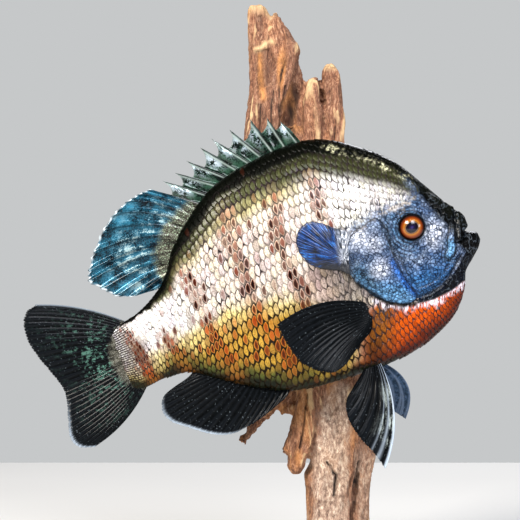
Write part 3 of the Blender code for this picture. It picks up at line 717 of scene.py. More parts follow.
@dataclass(frozen=True)
class HeadForms:
    """The head's bones and folds, as heights over the plain body, mm."""

    marks: Markings
    gill_cover: Points = (
        (51, 30), (48.6, 22), (49.6, 12), (49.2, 2), (47.6, -7), (44.6, -15.6), (45, -18.6), (48.5, -19.4), (54, -18),
        (61.9, -13.4), (67.4, -7.2), (72.4, 0), (75, 8.4), (76.4, 15), (72, 22.4), (65, 26),
    )
    cheek_edge: Points = (
        (49.8, 33), (47.4, 26.7), (47.6, 18.2), (47.6, 10.1), (46.8, 1.3), (45.4, -7.4), (42.8, -14.2), (36.8, -14.6),
        (30, -13.2), (23.1, -9.8), (18, -6),
    )
    inner_gill: Points = ((50.4, -9), (55, -11), (61, -8.6), (66, -3), (68.4, 6))
    jaw_crease: Points = ((43.8, -17.8), (36.4, -18), (28.7, -16), (23.6, -13.1), (19, -9), (13, -4))
    maxilla: Points = (
        (11, 15.6), (13.6, 12.6), (16.8, 6.8), (18.6, 1.9), (21.6, -1.6), (20.8, -3.8), (17.6, -2.6), (15.4, 1),
        (13.6, 6), (10.4, 12.6),
    )
    lip_fold: Points = ((5, 23.5), (8.4, 19.4), (10.3, 14), (12.2, 9), (14.4, 3.6))
    brow: Points = ((43.5, 29.5), (38, 31.4), (31, 30.6), (25.5, 27))
    arcs: tuple[Points, ...] = (
        ((25, 33.5), (19.6, 33), (16.4, 29.4)), ((22.6, 28.6), (18.8, 28.2), (16, 24.4)),
        ((12.6, 25.4), (9.6, 21.6), (7.6, 18)),
    )
    nostrils: Points = ((16.1, 20.7), (19.2, 25.2))
    socket: float = 7.1  # the eye socket's radius
    sunk: float = 3.6  # and how deep it is
    pebble: float = 2.1  # how far apart the pebbles of the cheek are

    def heights(self, s: Array, t: Array) -> tuple[Array, Array]:
        """Return the relief.

        Args:
            s: Distance towards the tail, mm.
            t: Distance towards the back, mm.

        Returns:
            Heights over the plain body, and how deep in a fold each place is, from 0 to 1, for the painted shade
            there.
        """
        face = smooth(-1.6, 0.4, depth_in(self.marks.head_line, s, t))
        cover, plate = depth_in(self.gill_cover, s, t), depth_in(self.maxilla, s, t)
        cheek, inner, crease, lip, brow = (nearest(line, s, t) for line in (
            self.cheek_edge, self.inner_gill, self.jaw_crease, self.lip_fold, self.brow))
        eye = np.hypot(s - EYE[0], t - EYE[1])
        # each form: distance from it, its ridges and grooves (height, place, width), and the painted shade of its fold
        # (strength, place, width)
        forms = [
            (cover, ((-0.5, -1.2, 0.8),), (1, -0.9, 0.55)),
            (cheek, ((0.45 * face, 0, 1.3), (-0.55 * face, 1.5, 0.7)), (0.55 * face, 1.3, 0.6)),
            (inner, ((-0.35, 0, 0.6),), (0.6, 0, 0.5)),
            (crease, ((-0.7, 0, 0.8), (0.35, 1.9, 0.9)), (0.8, 0, 0.5)),
            (plate, ((-0.6, -0.9, 0.6),), (0.9, -0.8, 0.45)),
            (lip, ((-1.2, 0, 0.7), (0.5, 2.2, 1)), (1, 0, 0.7)),
            (brow, ((0.7, 0, 1.4),), (0, 0, 1)),
            (eye, ((0.65, self.socket + 1.3, 0.8), (-0.3, self.socket + 3.2, 0.7)), (0, 0, 1)),
        ]
        forms += [(nearest(arc, s, t), ((0.55, 0, 0.7), (-0.3, 1.5, 0.7)), (0, 0, 1)) for arc in self.arcs]
        forms += [(np.hypot(s - at_s, t - at_t), ((-1, 0, 0.7), (0.45, 1.6, 0.5)), (1, 0, 0.7))
                  for at_s, at_t in self.nostrils]
        high = 0.45 * face + 1.1 * smooth(-0.4, 0.5, cover) + 0.9 * smooth(-0.5, 0.9, plate)
        high = high - self.sunk * (1 - smooth(self.socket - 1.3, self.socket + 0.2, eye))
        fold = 1 - smooth(self.socket, self.socket + 1.2, eye)
        for away, ridges, (strength, middle, width) in forms:
            high = high + sum(tall * bump(away - at, wide) for tall, at, wide in ridges)
            fold = np.maximum(fold, strength * bump(away - middle, width))
        return high, np.clip(fold, 0, 1)

    def pebbles(self, s: Array, t: Array, side: Array) -> Array:
        """Return the grain of the cheek and gill cover: low rounded scales under the skin.

        Args:
            s: Distance towards the tail, mm.
            t: Distance towards the back, mm.
            side: -1 or 1, so that the two cheeks differ.

        Returns:
            Heights from 0 between the pebbles to 1 on them.
        """
        across, along = (s + 0.35 * t) / self.pebble, (t - 0.35 * s) / self.pebble
        row = np.floor(along)
        best = np.full(np.shape(s), 9.0)
        second = best
        for dr in (-1, 0, 1):
            for dc in (-1, 0, 1):
                cell_r = row + dr
                cell_c = np.floor(across + 0.5 * (cell_r % 2)) + dc
                key = np.sin(cell_r * 127.1 + cell_c * 311.7 + side * 41) * 43758.5453
                jitter = key - np.floor(key)
                centre_c = cell_c + 0.08 + 0.84 * jitter - 0.5 * (cell_r % 2)
                centre_r = cell_r + 0.1 + 0.8 * ((jitter * 7) % 1)
                away = np.hypot(across - centre_c, along - centre_r)
                second = np.where(away < best, best, np.minimum(second, away))
                best = np.minimum(best, away)
        return np.clip(2.6 * (second - best), 0, 1) ** 0.6


# ---- finishes of the fish


@dataclass(frozen=True)
class FishPaint(Finish):
    """Airbrushed fish skin under clear lacquer: a mounted fish is painted in thin pearl coats.

    The pearl gives soft metallic glints that change from scale to scale, and the lacquer a wet, sharp gloss.
    """

    name: str = "lacquered_fish_skin"
    roughness: float = 0.32
    metallic: float = 0.25
    specular: float = 0.04
    coat: float = 0.12
    coat_roughness: float = 0.12
    flank: str = "#F7F1EC"
    cool: str = "#D2C4BC"
    # coats in order; the silver is whiter as a painted highlight, and the ochre, ember and keel coats hold painted
    # shadow and shade
    layers: Tints = (
        ("silver", "#F4F5F8"), ("blush", "#A8887A"), ("moss", "#B0AB80"), ("straw", "#E4D290"), ("gold", "#C29A3E"),
        ("stub", "#1A1B18"), ("smudge", "#26110A"), ("olive", "#3A3E24"), ("breast", "#E25C02"), ("ochre", "#8A5012"),
        ("ember", "#5E1A06"), ("moist", "#58602C"), ("keel", "#1C2216"), ("back", "#060804"),
    )
    # the face's coats; the whitest of them is painted highlight
    head_layers: Tints = (
        ("orbit", "#1A2A40"), ("blue", "#3A6CA0"), ("sky", "#70A4CE"), ("hot", "#E2E6F0"), ("jaw", "#0A101C"),
        ("royal", "#3474CC"), ("lip", "#040506"),
    )
    speck: float = 0.7  # size of the pearl's specks, mm, drawn coarser than the real 0.05
    grain: float = 0.42  # spacing of the fine ribs on a scale, as a share of its width
    crackle: float = 1.9  # size of the bony scales of the cheek, mm

    def draw(self, node: Maker, mask: MaskNodes) -> Drawn:
        """Lay the colours over each other as the airbrush does, painted highlights and painted shade among them, then
        the net of the scales and the grain.

        Args:
            node: Adds a node.
            mask: The piece's point values.

        Returns:
            A node for each input of the shader.
        """
        place = node("TexCoord").outputs["Object"]
        long = node("Mapping", {"Vector": place, "Scale": (1, 1, 0.22)})
        mottle, patchy, speck, hair = (
            node("TexNoise", {"Vector": at, "Scale": 1 / (size * MM), "Detail": detail, "Roughness": rough})
            for at, size, detail, rough in (
                (place, 9, 4, 0.5), (place, 3.4, 2, 0.5), (place, self.speck, 3, 0.65), (long, 1.1, 2, 0.5)))
        # how far each place is from its scale's middle, made uneven
        length = node("Math", (mask["along"],), operation="ABSOLUTE")
        leaf = node("Math", (mask["across"], mask["across"], length), operation="MULTIPLY_ADD")
        apart = node("Math", (leaf, 0.4), operation="SUBTRACT")
        for value, share in ((mask["chance"], 0.16), (patchy, 0.35), (speck, 0.3)):
            apart = node("Math", (value, share, apart), operation="MULTIPLY_ADD")
        rim, core, heart = (node("MapRange", (apart, first, last), interpolation_type="SMOOTHSTEP")
                            for first, last in ((0.78, 1.02), (1, 0.52), (0.76, 0.28)))
        turn = node("Math", (mask["chance"], 40), operation="MULTIPLY")
        ribbed = node("CombineXYZ", (mask["along"], mask["across"], turn))
        ribbed = node("Mapping", {"Vector": ribbed, "Scale": (1 / self.grain, 0.6, 1)})
        ribs = node("TexNoise", {"Vector": ribbed, "Scale": 1.6, "Detail": 4})
        # the flank
        soft = node("Math", (speck, 0.6, 0.84), operation="MULTIPLY_ADD")
        colour = node("MixRGB", (mottle, self.flank, self.cool))
        colour = coats(node, colour, [(mask[name], soft, tint) for name, tint in self.layers])
        colour = shades(node, colour, (
            (0.75, mask["chance"], ((0, "#ACA49A"), (0.25, "#E4DEEA"), (0.5, "#F4F2DE"), (0.8, "#FFFFFF"))),
            (0.75, ribs, ((0.3, "#968E88"), (0.5, "#E6E3E0"), (0.66, "#FFFFFF"))),
            (0.8, speck, ((0.34, "#8E8880"), (0.46, "#E2E0DC"), (0.55, "#FFFFFF")))))
        rust, ground, seam = (node("MixRGB", (mask["straw"], pale, warm)) for pale, warm in (
            ("#5E2614", "#9C3E0C"), ("#C8A488", "#B06A24"), ("#282022", "#1E1406")))
        broken, groove, streak, flash = (node("MapRange", limits) for limits in (
            (patchy, 0.3, 0.52, 0.45, 1.25), (hair, 0.4, 0.5, 0.85, 0), (hair, 0.4, 0.56), (speck, 0.44, 0.56)))
        net = node("Math", (mask["net"], rim), operation="MULTIPLY", use_clamp=True)
        colour = coats(node, colour, (
            (mask["bars"], 0.42, ground), (mask["rust"], core, rust), (mask["blot"], heart, "#0C0504"),
            (net, broken, seam), (mask["wrinkle"], groove, "#34343A"), (mask["fringe"], streak, "#EDE6F4"),
            (mask["glint"], flash, "#F0EEC4")))
        # the head
        warp = node("VectorMath", (speck.outputs["Color"], (0.0012, 0.0012, 0.0012)), operation="MULTIPLY")
        warped = node("VectorMath", (place, warp), operation="ADD")
        cells, cracks = (node("TexVoronoi", {"Vector": warped, "Scale": 1 / (self.crackle * MM)}, feature=feature)
                         for feature in ("F1", "DISTANCE_TO_EDGE"))
        silver = node("TexNoise", {"Vector": warped, "Scale": 1 / (6 * MM), "Detail": 5, "Roughness": 0.7})
        some = node("MapRange", (patchy, 0.4, 0.6, 0.65, 1))
        head = node("MixRGB", (node("MapRange", (silver, 0.43, 0.63)), "#4C6284", "#A2B2CA"))
        head = coats(node, head, [(mask[name], soft, tint) for name, tint in self.head_layers])
        head = shades(node, head, (
            (0.6, cells.outputs["Color"], ((0.2, "#6E7A8C"), (0.42, "#A8B0C0"), (0.58, "#E4E6F0"), (0.75, "#FFFFFF"))),
            (some, cracks, ((0, "#1C2430"), (0.06, "#5A6474"), (0.16, "#FFFFFF"))),
            (0.8, mask["pebble"], ((0, "#5A6474"), (0.6, "#FFFFFF")))))
        # vein lines: dark on the pale face, and pale painted highlight lines on the dark snout, jaw and back
        bent = node("TexNoise", {"Vector": warped, "Scale": 1 / (4.2 * MM), "Detail": 1.5})
        bent = node("Math", (node("Math", (bent, 0.5), operation="SUBTRACT"),), operation="ABSOLUTE")
        vein = node("MapRange", (bent, 0.004, 0.022, 1, 0))
        dark = node("Math", (mask["lip"], mask["jaw"]), operation="MAXIMUM")
        dark = node("Math", (dark, mask["back"]), operation="MAXIMUM")
        lit = node("MixRGB", (dark, "#18202A", "#5C6670"))
        head = coats(node, head, ((mask["back"], None, "#090B07"), (vein, 0.55, lit)))
        # over the flank lie the face, the ear flap's dark strands with painted shade under the flap, and painted shade
        # in the folds
        colour = coats(node, colour, (
            (mask["face"], None, head), (mask["strand"], None, "#0B0B07"), (mask["fold"], None, "#0B0E12")))
        # gloss and relief
        rough = node("MapRange", (speck, 0, 1, self.roughness - 0.14, self.roughness + 0.16))
        relief = node("Math", (ribs, 0.9, speck), operation="MULTIPLY_ADD")
        edge = node("MapRange", (cracks, 0, 0.2, 0, 1.6))
        edge = node("Math", (edge, mask["face"], relief), operation="MULTIPLY_ADD")
        grain = node("Bump", {"Strength": 0.6, "Distance": 0.22 * MM, "Height": edge})
        return {"Base Color": colour, "Roughness": rough, "Normal": grain}


# ---- the skin and the scales


@dataclass(frozen=True)
class Skin:
    """One skin from lips to tail fin, with the head's forms worked into it."""

    form: BodyForm
    marks: Markings
    forms: HeadForms
    paint: FishPaint
    head_rings: int = 175
    body_rings: int = 95
    head_end: float = 8.5  # the station where the close rings of the head end
    around: int = 420
    mouth_back: float = 13.6  # how far back the mouth's corner is
    mouth_gap: float = 1.5  # half the opening at the lips
    mouth_push: float = 4.6

    def build(self) -> Piece:
        """Build the skin.

        Returns:
            The finished piece.
        """
        along = np.concatenate([
            self.head_end * np.linspace(0, 1, self.head_rings) ** 1.25,
            np.linspace(self.head_end, self.form.last, self.body_rings + 1)[1:],
        ])
        angle = np.linspace(-0.5 * math.pi, 1.5 * math.pi, self.around, endpoint=False)
        along, angle = np.meshgrid(along, angle, indexing="ij")
        s, t, w, level, span = self.form.place(along, angle)
        s, t, w = self.open_mouth(s, t, w)
        side = np.where(np.cos(angle) >= 0, Side.RIGHT, Side.LEFT)
        high, fold = self.forms.heights(s, t)
        masks = self.marks.masks(s, t, level, span)
        grain = self.forms.pebbles(s, t, side)
        eye_near = bump(np.maximum(np.hypot(s - EYE[0], t - EYE[1]) - 7, 0), 1.5)
        bare = masks["face"] * (1 - masks["back"]) * (1 - eye_near)
        high = high + 0.22 * bare * grain * (1 - 0.6 * masks["lip"])
        middle = np.clip(np.abs(np.cos(angle)) * 3, 0, 1)
        points = self.form.pose.world(s, t, w).reshape(*s.shape, 3)
        normal = np.cross(np.roll(points, -1, axis=1) - np.roll(points, 1, axis=1), np.gradient(points, axis=0))
        normal /= np.maximum(np.linalg.norm(normal, axis=-1, keepdims=True), 1e-12)
        points = points + normal * (MM * high * middle)[..., None]
        # painted shade in the head's folds and creases
        masks |= {"fold": fold * middle, "pebble": 1 - bare * (1 - grain)}
        masks |= {name: 0.3 * masks["bars"] for name in ("rust", "blot")}
        masks |= {name: np.zeros(s.shape) for name in ("net", "along", "across", "chance")}
        rows, columns = s.shape
        faces = grid_faces(rows, columns, closed=True).tolist()
        faces += [tuple(range(columns))[::-1], tuple(range((rows - 1) * columns, rows * columns))]
        piece = mesh_object("skin", points.reshape(-1, 3), faces, self.paint, masks)
        return attach(piece, "head_skin", "trunk", "tail", "head", "upper_jaw", "lower_jaw",
                      "gill_cover_right", "gill_cover_left")

    def open_mouth(self, s: Array, t: Array, w: Array) -> tuple[Array, Array, Array]:
        """Part the lips, and set the upper one back from the lower.

        Args:
            s: Distance towards the tail, mm.
            t: Distance towards the back, mm.
            w: Distance towards the viewer, mm.

        Returns:
            The moved s, t and w.
        """
        middle = 7.7 - 0.415 * np.maximum(s, 0)
        near = smooth(self.mouth_back, 2, s)
        gap = 0.5 + self.mouth_gap * near
        inside = bump(t - middle, 0.62 * gap) * smooth(self.mouth_back + 1.5, self.mouth_back - 1.5, s)
        lips = near * bump(np.abs(t - middle) - 1.5 * gap, 1.1)
        set_back = 2.6 * smooth(23, 8, t) * smooth(middle - 0.5, middle + 1, t) * smooth(16, 2, s)
        s = s + set_back + self.mouth_push * inside * near - 0.35 * lips
        w = w * (1 - 0.55 * inside) * (1 + 0.05 * lips)
        return s, t, w


class Layout:
    """One flank laid flat by its own length and height, to look places up in."""

    def __init__(self, form: BodyForm, side: Side) -> None:
        """Lay the flank out.

        Args:
            form: The body's form.
            side: Which flank.
        """
        along = np.linspace(0.4, form.last, 700)
        angle = np.linspace(-0.5 * math.pi, 0.5 * math.pi, 401)
        if side is Side.LEFT:
            angle = math.pi - angle
        values = form.place(*np.meshgrid(along, angle, indexing="ij"))
        steps = np.sqrt(sum(np.diff(a) ** 2 for a in values[:3]))
        length = np.concatenate([np.zeros((len(along), 1)), np.cumsum(steps, axis=1)], axis=1)
        level = values[3]
        middle = np.array([np.interp(form.widest, level[i], length[i]) for i in range(len(along))])
        height = length - middle[:, None]
        self.heights = np.arange(-90, 90.1, 0.5)
        self.table = np.empty((len(along), len(self.heights), 5))
        for i in range(len(along)):
            for k, value in enumerate(values):
                self.table[i, :, k] = np.interp(self.heights, height[i], value[i])
        self.stations = np.arange(len(along))
        self.ends = height[:, 0], height[:, -1]
        self.mid_s = self.table[:, np.searchsorted(self.heights, 0), 0]

    def between(self, station: Array, values: Array) -> Array:
        """Return the values, one for each station, at parts of a station."""
        return np.interp(station, self.stations, values)

    def at(self, station: Array, height: Array) -> Array:
        """Look places up.

        Args:
            station: Station numbers, with parts of one.
            height: Heights over the middle, mm.

        Returns:
            s, t, w, level and span in the last axis.
        """
        row = np.clip(station, 0, len(self.table) - 1.001)
        step = self.heights[1] - self.heights[0]
        column = np.clip((height - self.heights[0]) / step, 0, len(self.heights) - 1.001)
        r, c = row.astype(int), column.astype(int)
        fr, fc = (row - r)[..., None], (column - c)[..., None]
        near = self.table[r, c] * (1 - fc) + self.table[r, c + 1] * fc
        far = self.table[r + 1, c] * (1 - fc) + self.table[r + 1, c + 1] * fc
        return near * (1 - fr) + far * fr


@dataclass(frozen=True)
class ScaleCoat:
    """Overlapping scales in rows along one flank, each a thin solid shell rooted in the skin."""

    form: BodyForm
    marks: Markings
    paint: FishPaint
    pitch: float = 3.2  # from one scale to the next in a row, mm
    row: float = 6.0  # from one row to the next, mm
    drop: float = 16.0  # how far the rows sink on their way along the flank, mm
    reach: float = 7.0  # length of a scale, mm
    wide: float = 4.0  # half its height, mm
    root: float = 0.62  # how much of its length lies ahead of its place
    lift: float = 0.95  # how far its free edge stands over its root, mm
    thick: float = 0.2
    lengths: int = 7  # points along a scale
    widths: int = 9  # and across it
    last: float = 207.5  # where the scales end at the tail fin, s
    parting: float = 112.0  # where the front piece gives way to the rear one, s

    def sizes(self, s: Array) -> Array:
        """Return how large the scales are at s, as a share of the largest."""
        return np.interp(s, (0, 20, 45, 75, 130, 165, 190, 205, 225), (0.42, 0.5, 0.7, 1, 1, 0.82, 0.62, 0.42, 0.4))

    def sunk(self, s: Array) -> Array:
        """Return how far the rows have sunk at s."""
        return self.drop * smooth(88, 176, s)

    def build(self, side: Side, name: str, part: Callable[[Array], Array]) -> Piece:
        """Build the scales of part of one flank.

        Args:
            side: Which flank.
            name: The piece's name.
            part: Says which scales belong to this piece, from their s.

        Returns:
            The finished piece.
        """
        flat = Layout(self.form, side)
        per_station = np.diff(flat.mid_s) * 2 / (self.pitch * self.sizes(flat.mid_s[1:]))
        column = np.concatenate([[0], np.cumsum(per_station)])
        grid_c, grid_r = np.meshgrid(np.arange(1, int(column[-1]) + 1), np.arange(-30, 34), indexing="ij")
        keep = (grid_c + grid_r) % 2 == 0
        grid_c, grid_r = grid_c[keep], grid_r[keep]
        wander = np.random.default_rng(40 + side).uniform(-1, 1, (len(grid_c), 6))
        station = np.interp(grid_c + 0.16 * wander[:, 0], column, flat.stations)
        middle_s = flat.between(station, flat.mid_s)
        size = self.sizes(middle_s)
        height = (grid_r + 0.07 * wander[:, 1]) * self.row * size - self.sunk(middle_s)
        low, high = (flat.between(station, ends) for ends in flat.ends)
        centre = flat.at(station, height)
        chosen = (height > low + 0.3) & (height < high - 0.3) & (centre[:, 0] < self.last) & part(centre[:, 0])
        chosen &= depth_in(self.marks.head_line, centre[:, 0], centre[:, 1]) < 0.3
        return self.shells(side, name, flat, *(a[chosen] for a in (station, height, size, centre, wander)))

    def shells(self, side: Side, name: str, flat: Layout, station: Array, height: Array, size: Array,
               centre: Array, wander: Array) -> Piece:
        """Make the chosen scales as one mesh.

        Args:
            side: Which flank.
            name: The piece's name.
            flat: The laid-out flank.
            station: The scales' stations.
            height: Their heights, mm.
            size: Their sizes.
            centre: s, t, w, level and span at each.
            wander: Random numbers from -1 to 1 for each.

        Returns:
            The finished piece.
        """
        r, c = (a.ravel() for a in np.meshgrid(
            np.linspace(0, 1, self.lengths), np.linspace(-1, 1, self.widths), indexing="ij"))
        fan = (0.62 + 0.38 * r) * c
        reach = r * (0.99 - 0.34 * c * c)
        size_of, chance_of = size[:, None], 0.5 + 0.5 * wander[:, 3]
        local_s = size_of * self.reach * (reach - self.root)
        rows = station[:, None] + local_s / flat.between(station, np.gradient(flat.mid_s))[:, None]
        highs = height[:, None] + size_of * self.wide * fan
        at = flat.at(rows, highs)
        ahead = flat.at(rows + 1.5, highs) - flat.at(rows - 1.5, highs)
        above = flat.at(rows, highs + 0.8) - flat.at(rows, highs - 0.8)
        out = np.cross(ahead[..., :3], above[..., :3])
        out /= np.maximum(np.linalg.norm(out, axis=-1, keepdims=True), 1e-9)
        out *= np.sign(out[..., 2:3]) * side
        masks = self.marks.masks(centre[:, 0], centre[:, 1], centre[:, 3], centre[:, 4])
        in_head = depth_in(self.marks.head_line, centre[:, 0], centre[:, 1])
        brink = smooth(9, 1, -in_head) * smooth(20, 30, centre[:, 1])
        calm = (size * (1 - 0.6 * masks["back"]) * (1 - 0.7 * brink))[:, None]
        tilt = size_of * 0.45 * reach + calm * (self.lift - 0.45 + 0.14 * wander[:, 2:3]) * reach ** 1.15
        rise = tilt + 0.3 * calm * (1 - c * c) * (1 - 0.5 * r) - 0.12
        points = np.concatenate([at[..., :3] + out * (rise - k * self.thick)[..., None] for k in (0, 1)], axis=1)
        world = self.form.pose.world(points[..., 0], points[..., 1], points[..., 2])
        one = sheet_faces(self.lengths, self.widths)[:, ::-side]
        count = 2 * len(r)
        faces = (one[None] + (count * np.arange(len(station)))[:, None, None]).reshape(-1, 4)
        self.spot(masks, centre, chance_of, 0.5 + 0.5 * wander[:, 4], brink)
        masks["chance"] = 0.5 + 0.5 * wander[:, 5]
        drawn = self.marks.masks(at[..., 0], at[..., 1], at[..., 3], at[..., 4])
        drawn["face"] = 0.8 * smooth(-7, 0, depth_in(self.marks.head_line, at[..., 0], at[..., 1])) * smooth(
            16, 26, at[..., 1])
        middle_s = flat.between(station, flat.mid_s)
        slope = ((self.sunk(middle_s + 1) - self.sunk(middle_s - 1)) / 2)[:, None]
        up = self.wide * fan
        spine = 0.82 - 0.045 * up * up - slope * (0.38 + 0.25 * up)
        drawn["along"] = (self.reach * (reach - self.root) - spine) / (0.5 * self.pitch)
        drawn["across"] = (up - 0.8 * slope) / (0.58 * self.row)
        drawn |= {"pebble": np.ones(at.shape[:2]), "fold": np.zeros(at.shape[:2])}
        each = {key: np.concatenate([values, values], axis=1).ravel() for key, values in drawn.items()}
        each |= {key: np.repeat(masks[key], count) for key in ("net", "bars", "rust", "blot", "chance")}
        piece = mesh_object(name, world, faces, self.paint, each)
        self.unwrap(piece, middle_s, height, np.tile(np.stack([r, c], axis=1), (2, 1)))
        return attach(piece, "scaled_skin")

    def spot(self, masks: Masks, centre: Array, chance: Array, second: Array, brink: Array) -> None:
        """Choose which scales are spotted or outlined, and how strongly.

        Args:
            masks: The markings at each scale, to add to.
            centre: s, t, w, level and span at each.
            chance: A random number from 0 to 1 for each.
            second: Another.
            brink: How near each is to the top of the head.
        """
        s, t = centre[:, 0], centre[:, 1]
        freckle = (chance > 0.94 - 0.2 * masks["gold"]) * (0.35 + 0.65 * second) * smooth(86, 104, s)
        spotted = smooth(0.26, 0.48, masks["bars"] * (0.32 + chance)) * (0.55 + 0.45 * chance)
        masks["rust"] = np.maximum(spotted, freckle) * (1 - 0.8 * masks["olive"]) * (1 - masks["keel"])
        masks["rust"] = masks["rust"] * (1 - masks["moist"])
        masks["blot"] = masks["rust"] * smooth(0.1, 0.6, second * (0.6 + 0.7 * masks["bars"]))
        net = 0.4 + 0.3 * (chance - 0.5) + 0.5 * (second > 0.88)
        for name, share in (("gold", 0.55), ("straw", 0.3), ("breast", 0.2), ("bars", 0.3), ("silver", -0.12)):
            net = net + share * masks[name]
        net = net - 0.15 * smooth(120, 175, s) * smooth(-4, 6, t) + 0.3 * masks["olive"]
        net = np.clip(np.clip(net, 0, 0.95) + 0.5 * masks["stub"], 0, 1)
        masks["net"] = net * (1 - 0.6 * brink) * (1 - masks["back"])

    def unwrap(self, piece: Piece, middle_s: Array, height: Array, local: Array) -> None:
        """Give each scale a small patch at its root's place on the flank laid flat.

        Args:
            piece: The scales.
            middle_s: Each scale's s at mid height.
            height: Their heights, mm.
            local: Each point's place on its scale.
        """
        root = np.stack([middle_s / 220, 0.5 + height / 190], axis=1)
        place = (root[:, None, :] + np.array([0.003, 0.0015]) * local).reshape(-1, 2)
        layer = piece.data.uv_layers.new(name="OFBake")
        corners = np.empty(len(piece.data.loops), np.int32)
        piece.data.loops.foreach_get("vertex_index", corners)
        layer.data.foreach_set("uv", place[corners].astype(np.float32).ravel())


# ---- eyes and ear flaps


@dataclass(frozen=True)
class EyeGlass(Finish):
    """Taxidermist's glass eye, cast and painted behind: a copper iris, a thin gold ring and a dark pupil.

    The polished glass gives small, hard highlights over deep colour.
    """

    name: str = "glass_eye"
    roughness: float = 0.12
    ior: float = 1.52
    specular: float = 0.2
    coat: float = 0.25
    coat_roughness: float = 0.02

    def draw(self, node: Maker, mask: MaskNodes) -> Drawn:
        """Paint rings from the pupil outwards, with fine fibres across the iris.

        Args:
            node: Adds a node.
            mask: The piece's point values.

        Returns:
            A node for each input of the shader.
        """
        at = node("CombineXYZ", (mask["turn"], mask["ring"]))
        fibre = node("TexNoise", {"Vector": at, "Scale": 26, "Detail": 3})
        moved = node("Math", (fibre, 0.5), operation="SUBTRACT")
        moved = node("Math", (moved, 0.07, mask["ring"]), operation="MULTIPLY_ADD")
        # the pupil's purple middle is a painted reflection
        colour = node("ValToRGB", (moved,), (
            (0, "#322C60"), (0.12, "#16112E"), (0.28, "#0A0614"), (0.42, "#08040A"), (0.44, "#8C6A50"),
            (0.47, "#3E1C08"), (0.54, "#96601E"), (0.64, "#803E0E"), (0.74, "#5E2408"), (0.82, "#300F05"),
            (0.87, "#0E0604"), (1, "#040405")))
        dent = node("Bump", {"Strength": 0.15, "Distance": 0.1 * MM, "Height": fibre})
        return {"Base Color": colour, "Normal": dent}


@dataclass(frozen=True)
class Eye:
    """A glass eye with a proud cornea, and the dark lid ring that holds it."""

    glass: EyeGlass
    radius: float = 7.5
    depth: float = 4.4
    wall: float = 1.5  # how far the glass goes in behind its rim, mm
    cornea: float = 0.35  # how far the cornea stands proud, mm
    pupil_slant: float = 0.14  # how much longer than wide the pupil is
    pupil_turn: float = 0.5  # how far its length leans up towards the snout, radians
    rings: int = 40
    around: int = 96

    def build(self, side: Side) -> Piece:
        """Build one eye in the place of its solid.

        Args:
            side: Which eye.

        Returns:
            The finished piece.
        """
        node = f"eye_{side.label}"
        low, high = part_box(node)
        r, turn = np.meshgrid(np.linspace(0, 1, self.rings), np.linspace(0, math.tau, self.around, endpoint=False),
                              indexing="ij")
        radial = np.sin(0.5 * math.pi * r)
        out = self.depth * np.cos(0.5 * math.pi * r) + self.cornea * bump(r, 0.28)
        points = np.stack([self.radius * radial * np.cos(turn), -side * out, self.radius * radial * np.sin(turn)],
                          axis=-1).reshape(-1, 3)
        back = points * np.array([1, 0, 1]) + np.array([0, side * self.wall, 0])
        faces = disc_faces(self.rings, self.around)[:, ::-side]
        ring = radial * (1 - self.pupil_slant * np.cos(2 * (turn - self.pupil_turn)) * bump(r, 0.3))
        masks = {"ring": ring, "turn": 1.5 + np.cos(turn) + 0.5 * np.sin(3 * turn)}
        masks = {key: np.tile(values.ravel(), 2) for key, values in masks.items()}
        points = np.concatenate([points, back]) * MM + np.array((low + high) / 2)
        piece = mesh_object(node + "_glass", points, faces, self.glass, masks)
        weld(piece)
        return attach(piece, "eye_glass", node)


def weld(piece: Piece, distance: float = 1e-6) -> None:
    """Join points that lie on each other, and drop faces that have closed up.

    Args:
        piece: The piece.
        distance: How near such points are, m.
    """
    bm = bmesh.new()
    bm.from_mesh(piece.data)
    bmesh.ops.remove_doubles(bm, verts=bm.verts, dist=distance)
    bmesh.ops.dissolve_degenerate(bm, edges=bm.edges, dist=1e-8)
    bm.to_mesh(piece.data)
    bm.free()


def outwards(points: Array, faces: Array) -> Array:
    """Turn a closed mesh's quads so that they face out.

    Args:
        points: The mesh's points.
        faces: Its quads.

    Returns:
        The quads, turned round if they faced in.
    """
    a, b, c, d = (points[faces[:, k]] - points.mean(axis=0) for k in range(4))
    volume = np.sum(a * np.cross(b, c)) + np.sum(a * np.cross(c, d))
    return faces[:, ::-1] if volume < 0 else faces


@dataclass(frozen=True)
class EarPaint(Finish):
    """Airbrushed gill flap under lacquer: royal blue with fine feathered streaks, black at its lower edge.

    The streaks run out from the joint and catch the light like the barbs of a feather.
    """

    name: str = "lacquered_ear_flap"
    roughness: float = 0.3
    metallic: float = 0.25
    specular: float = 0.25
    coat: float = 0.4
    coat_roughness: float = 0.06

    def draw(self, node: Maker, mask: MaskNodes) -> Drawn:
        """Draw streaks that fan out from the joint.

        Args:
            node: Adds a node.
            mask: The piece's point values.

        Returns:
            A node for each input of the shader.
        """
        at = node("CombineXYZ", (mask["fan"], node("Math", (mask["reach"], 0.35), operation="MULTIPLY")))
        streak = node("TexNoise", {"Vector": at, "Scale": 11, "Detail": 5, "Roughness": 0.65})
        blue, scar = (node("ValToRGB", (streak,), stops) for stops in (
            ((0.4, "#02060F"), (0.49, "#05183A"), (0.57, "#0C3674"), (0.65, "#1F62A8"), (0.76, "#8CC4EC")),
            ((0.4, "#14181F"), (0.5, "#6E7683"), (0.6, "#DDE0E8"))))
        colour = coats(node, blue, ((mask["joint"], None, scar), (mask["dark"], None, "#0A0D14")))
        dent = node("Bump", {"Strength": 0.5, "Distance": 0.25 * MM, "Height": streak})
        return {"Base Color": colour, "Normal": dent}


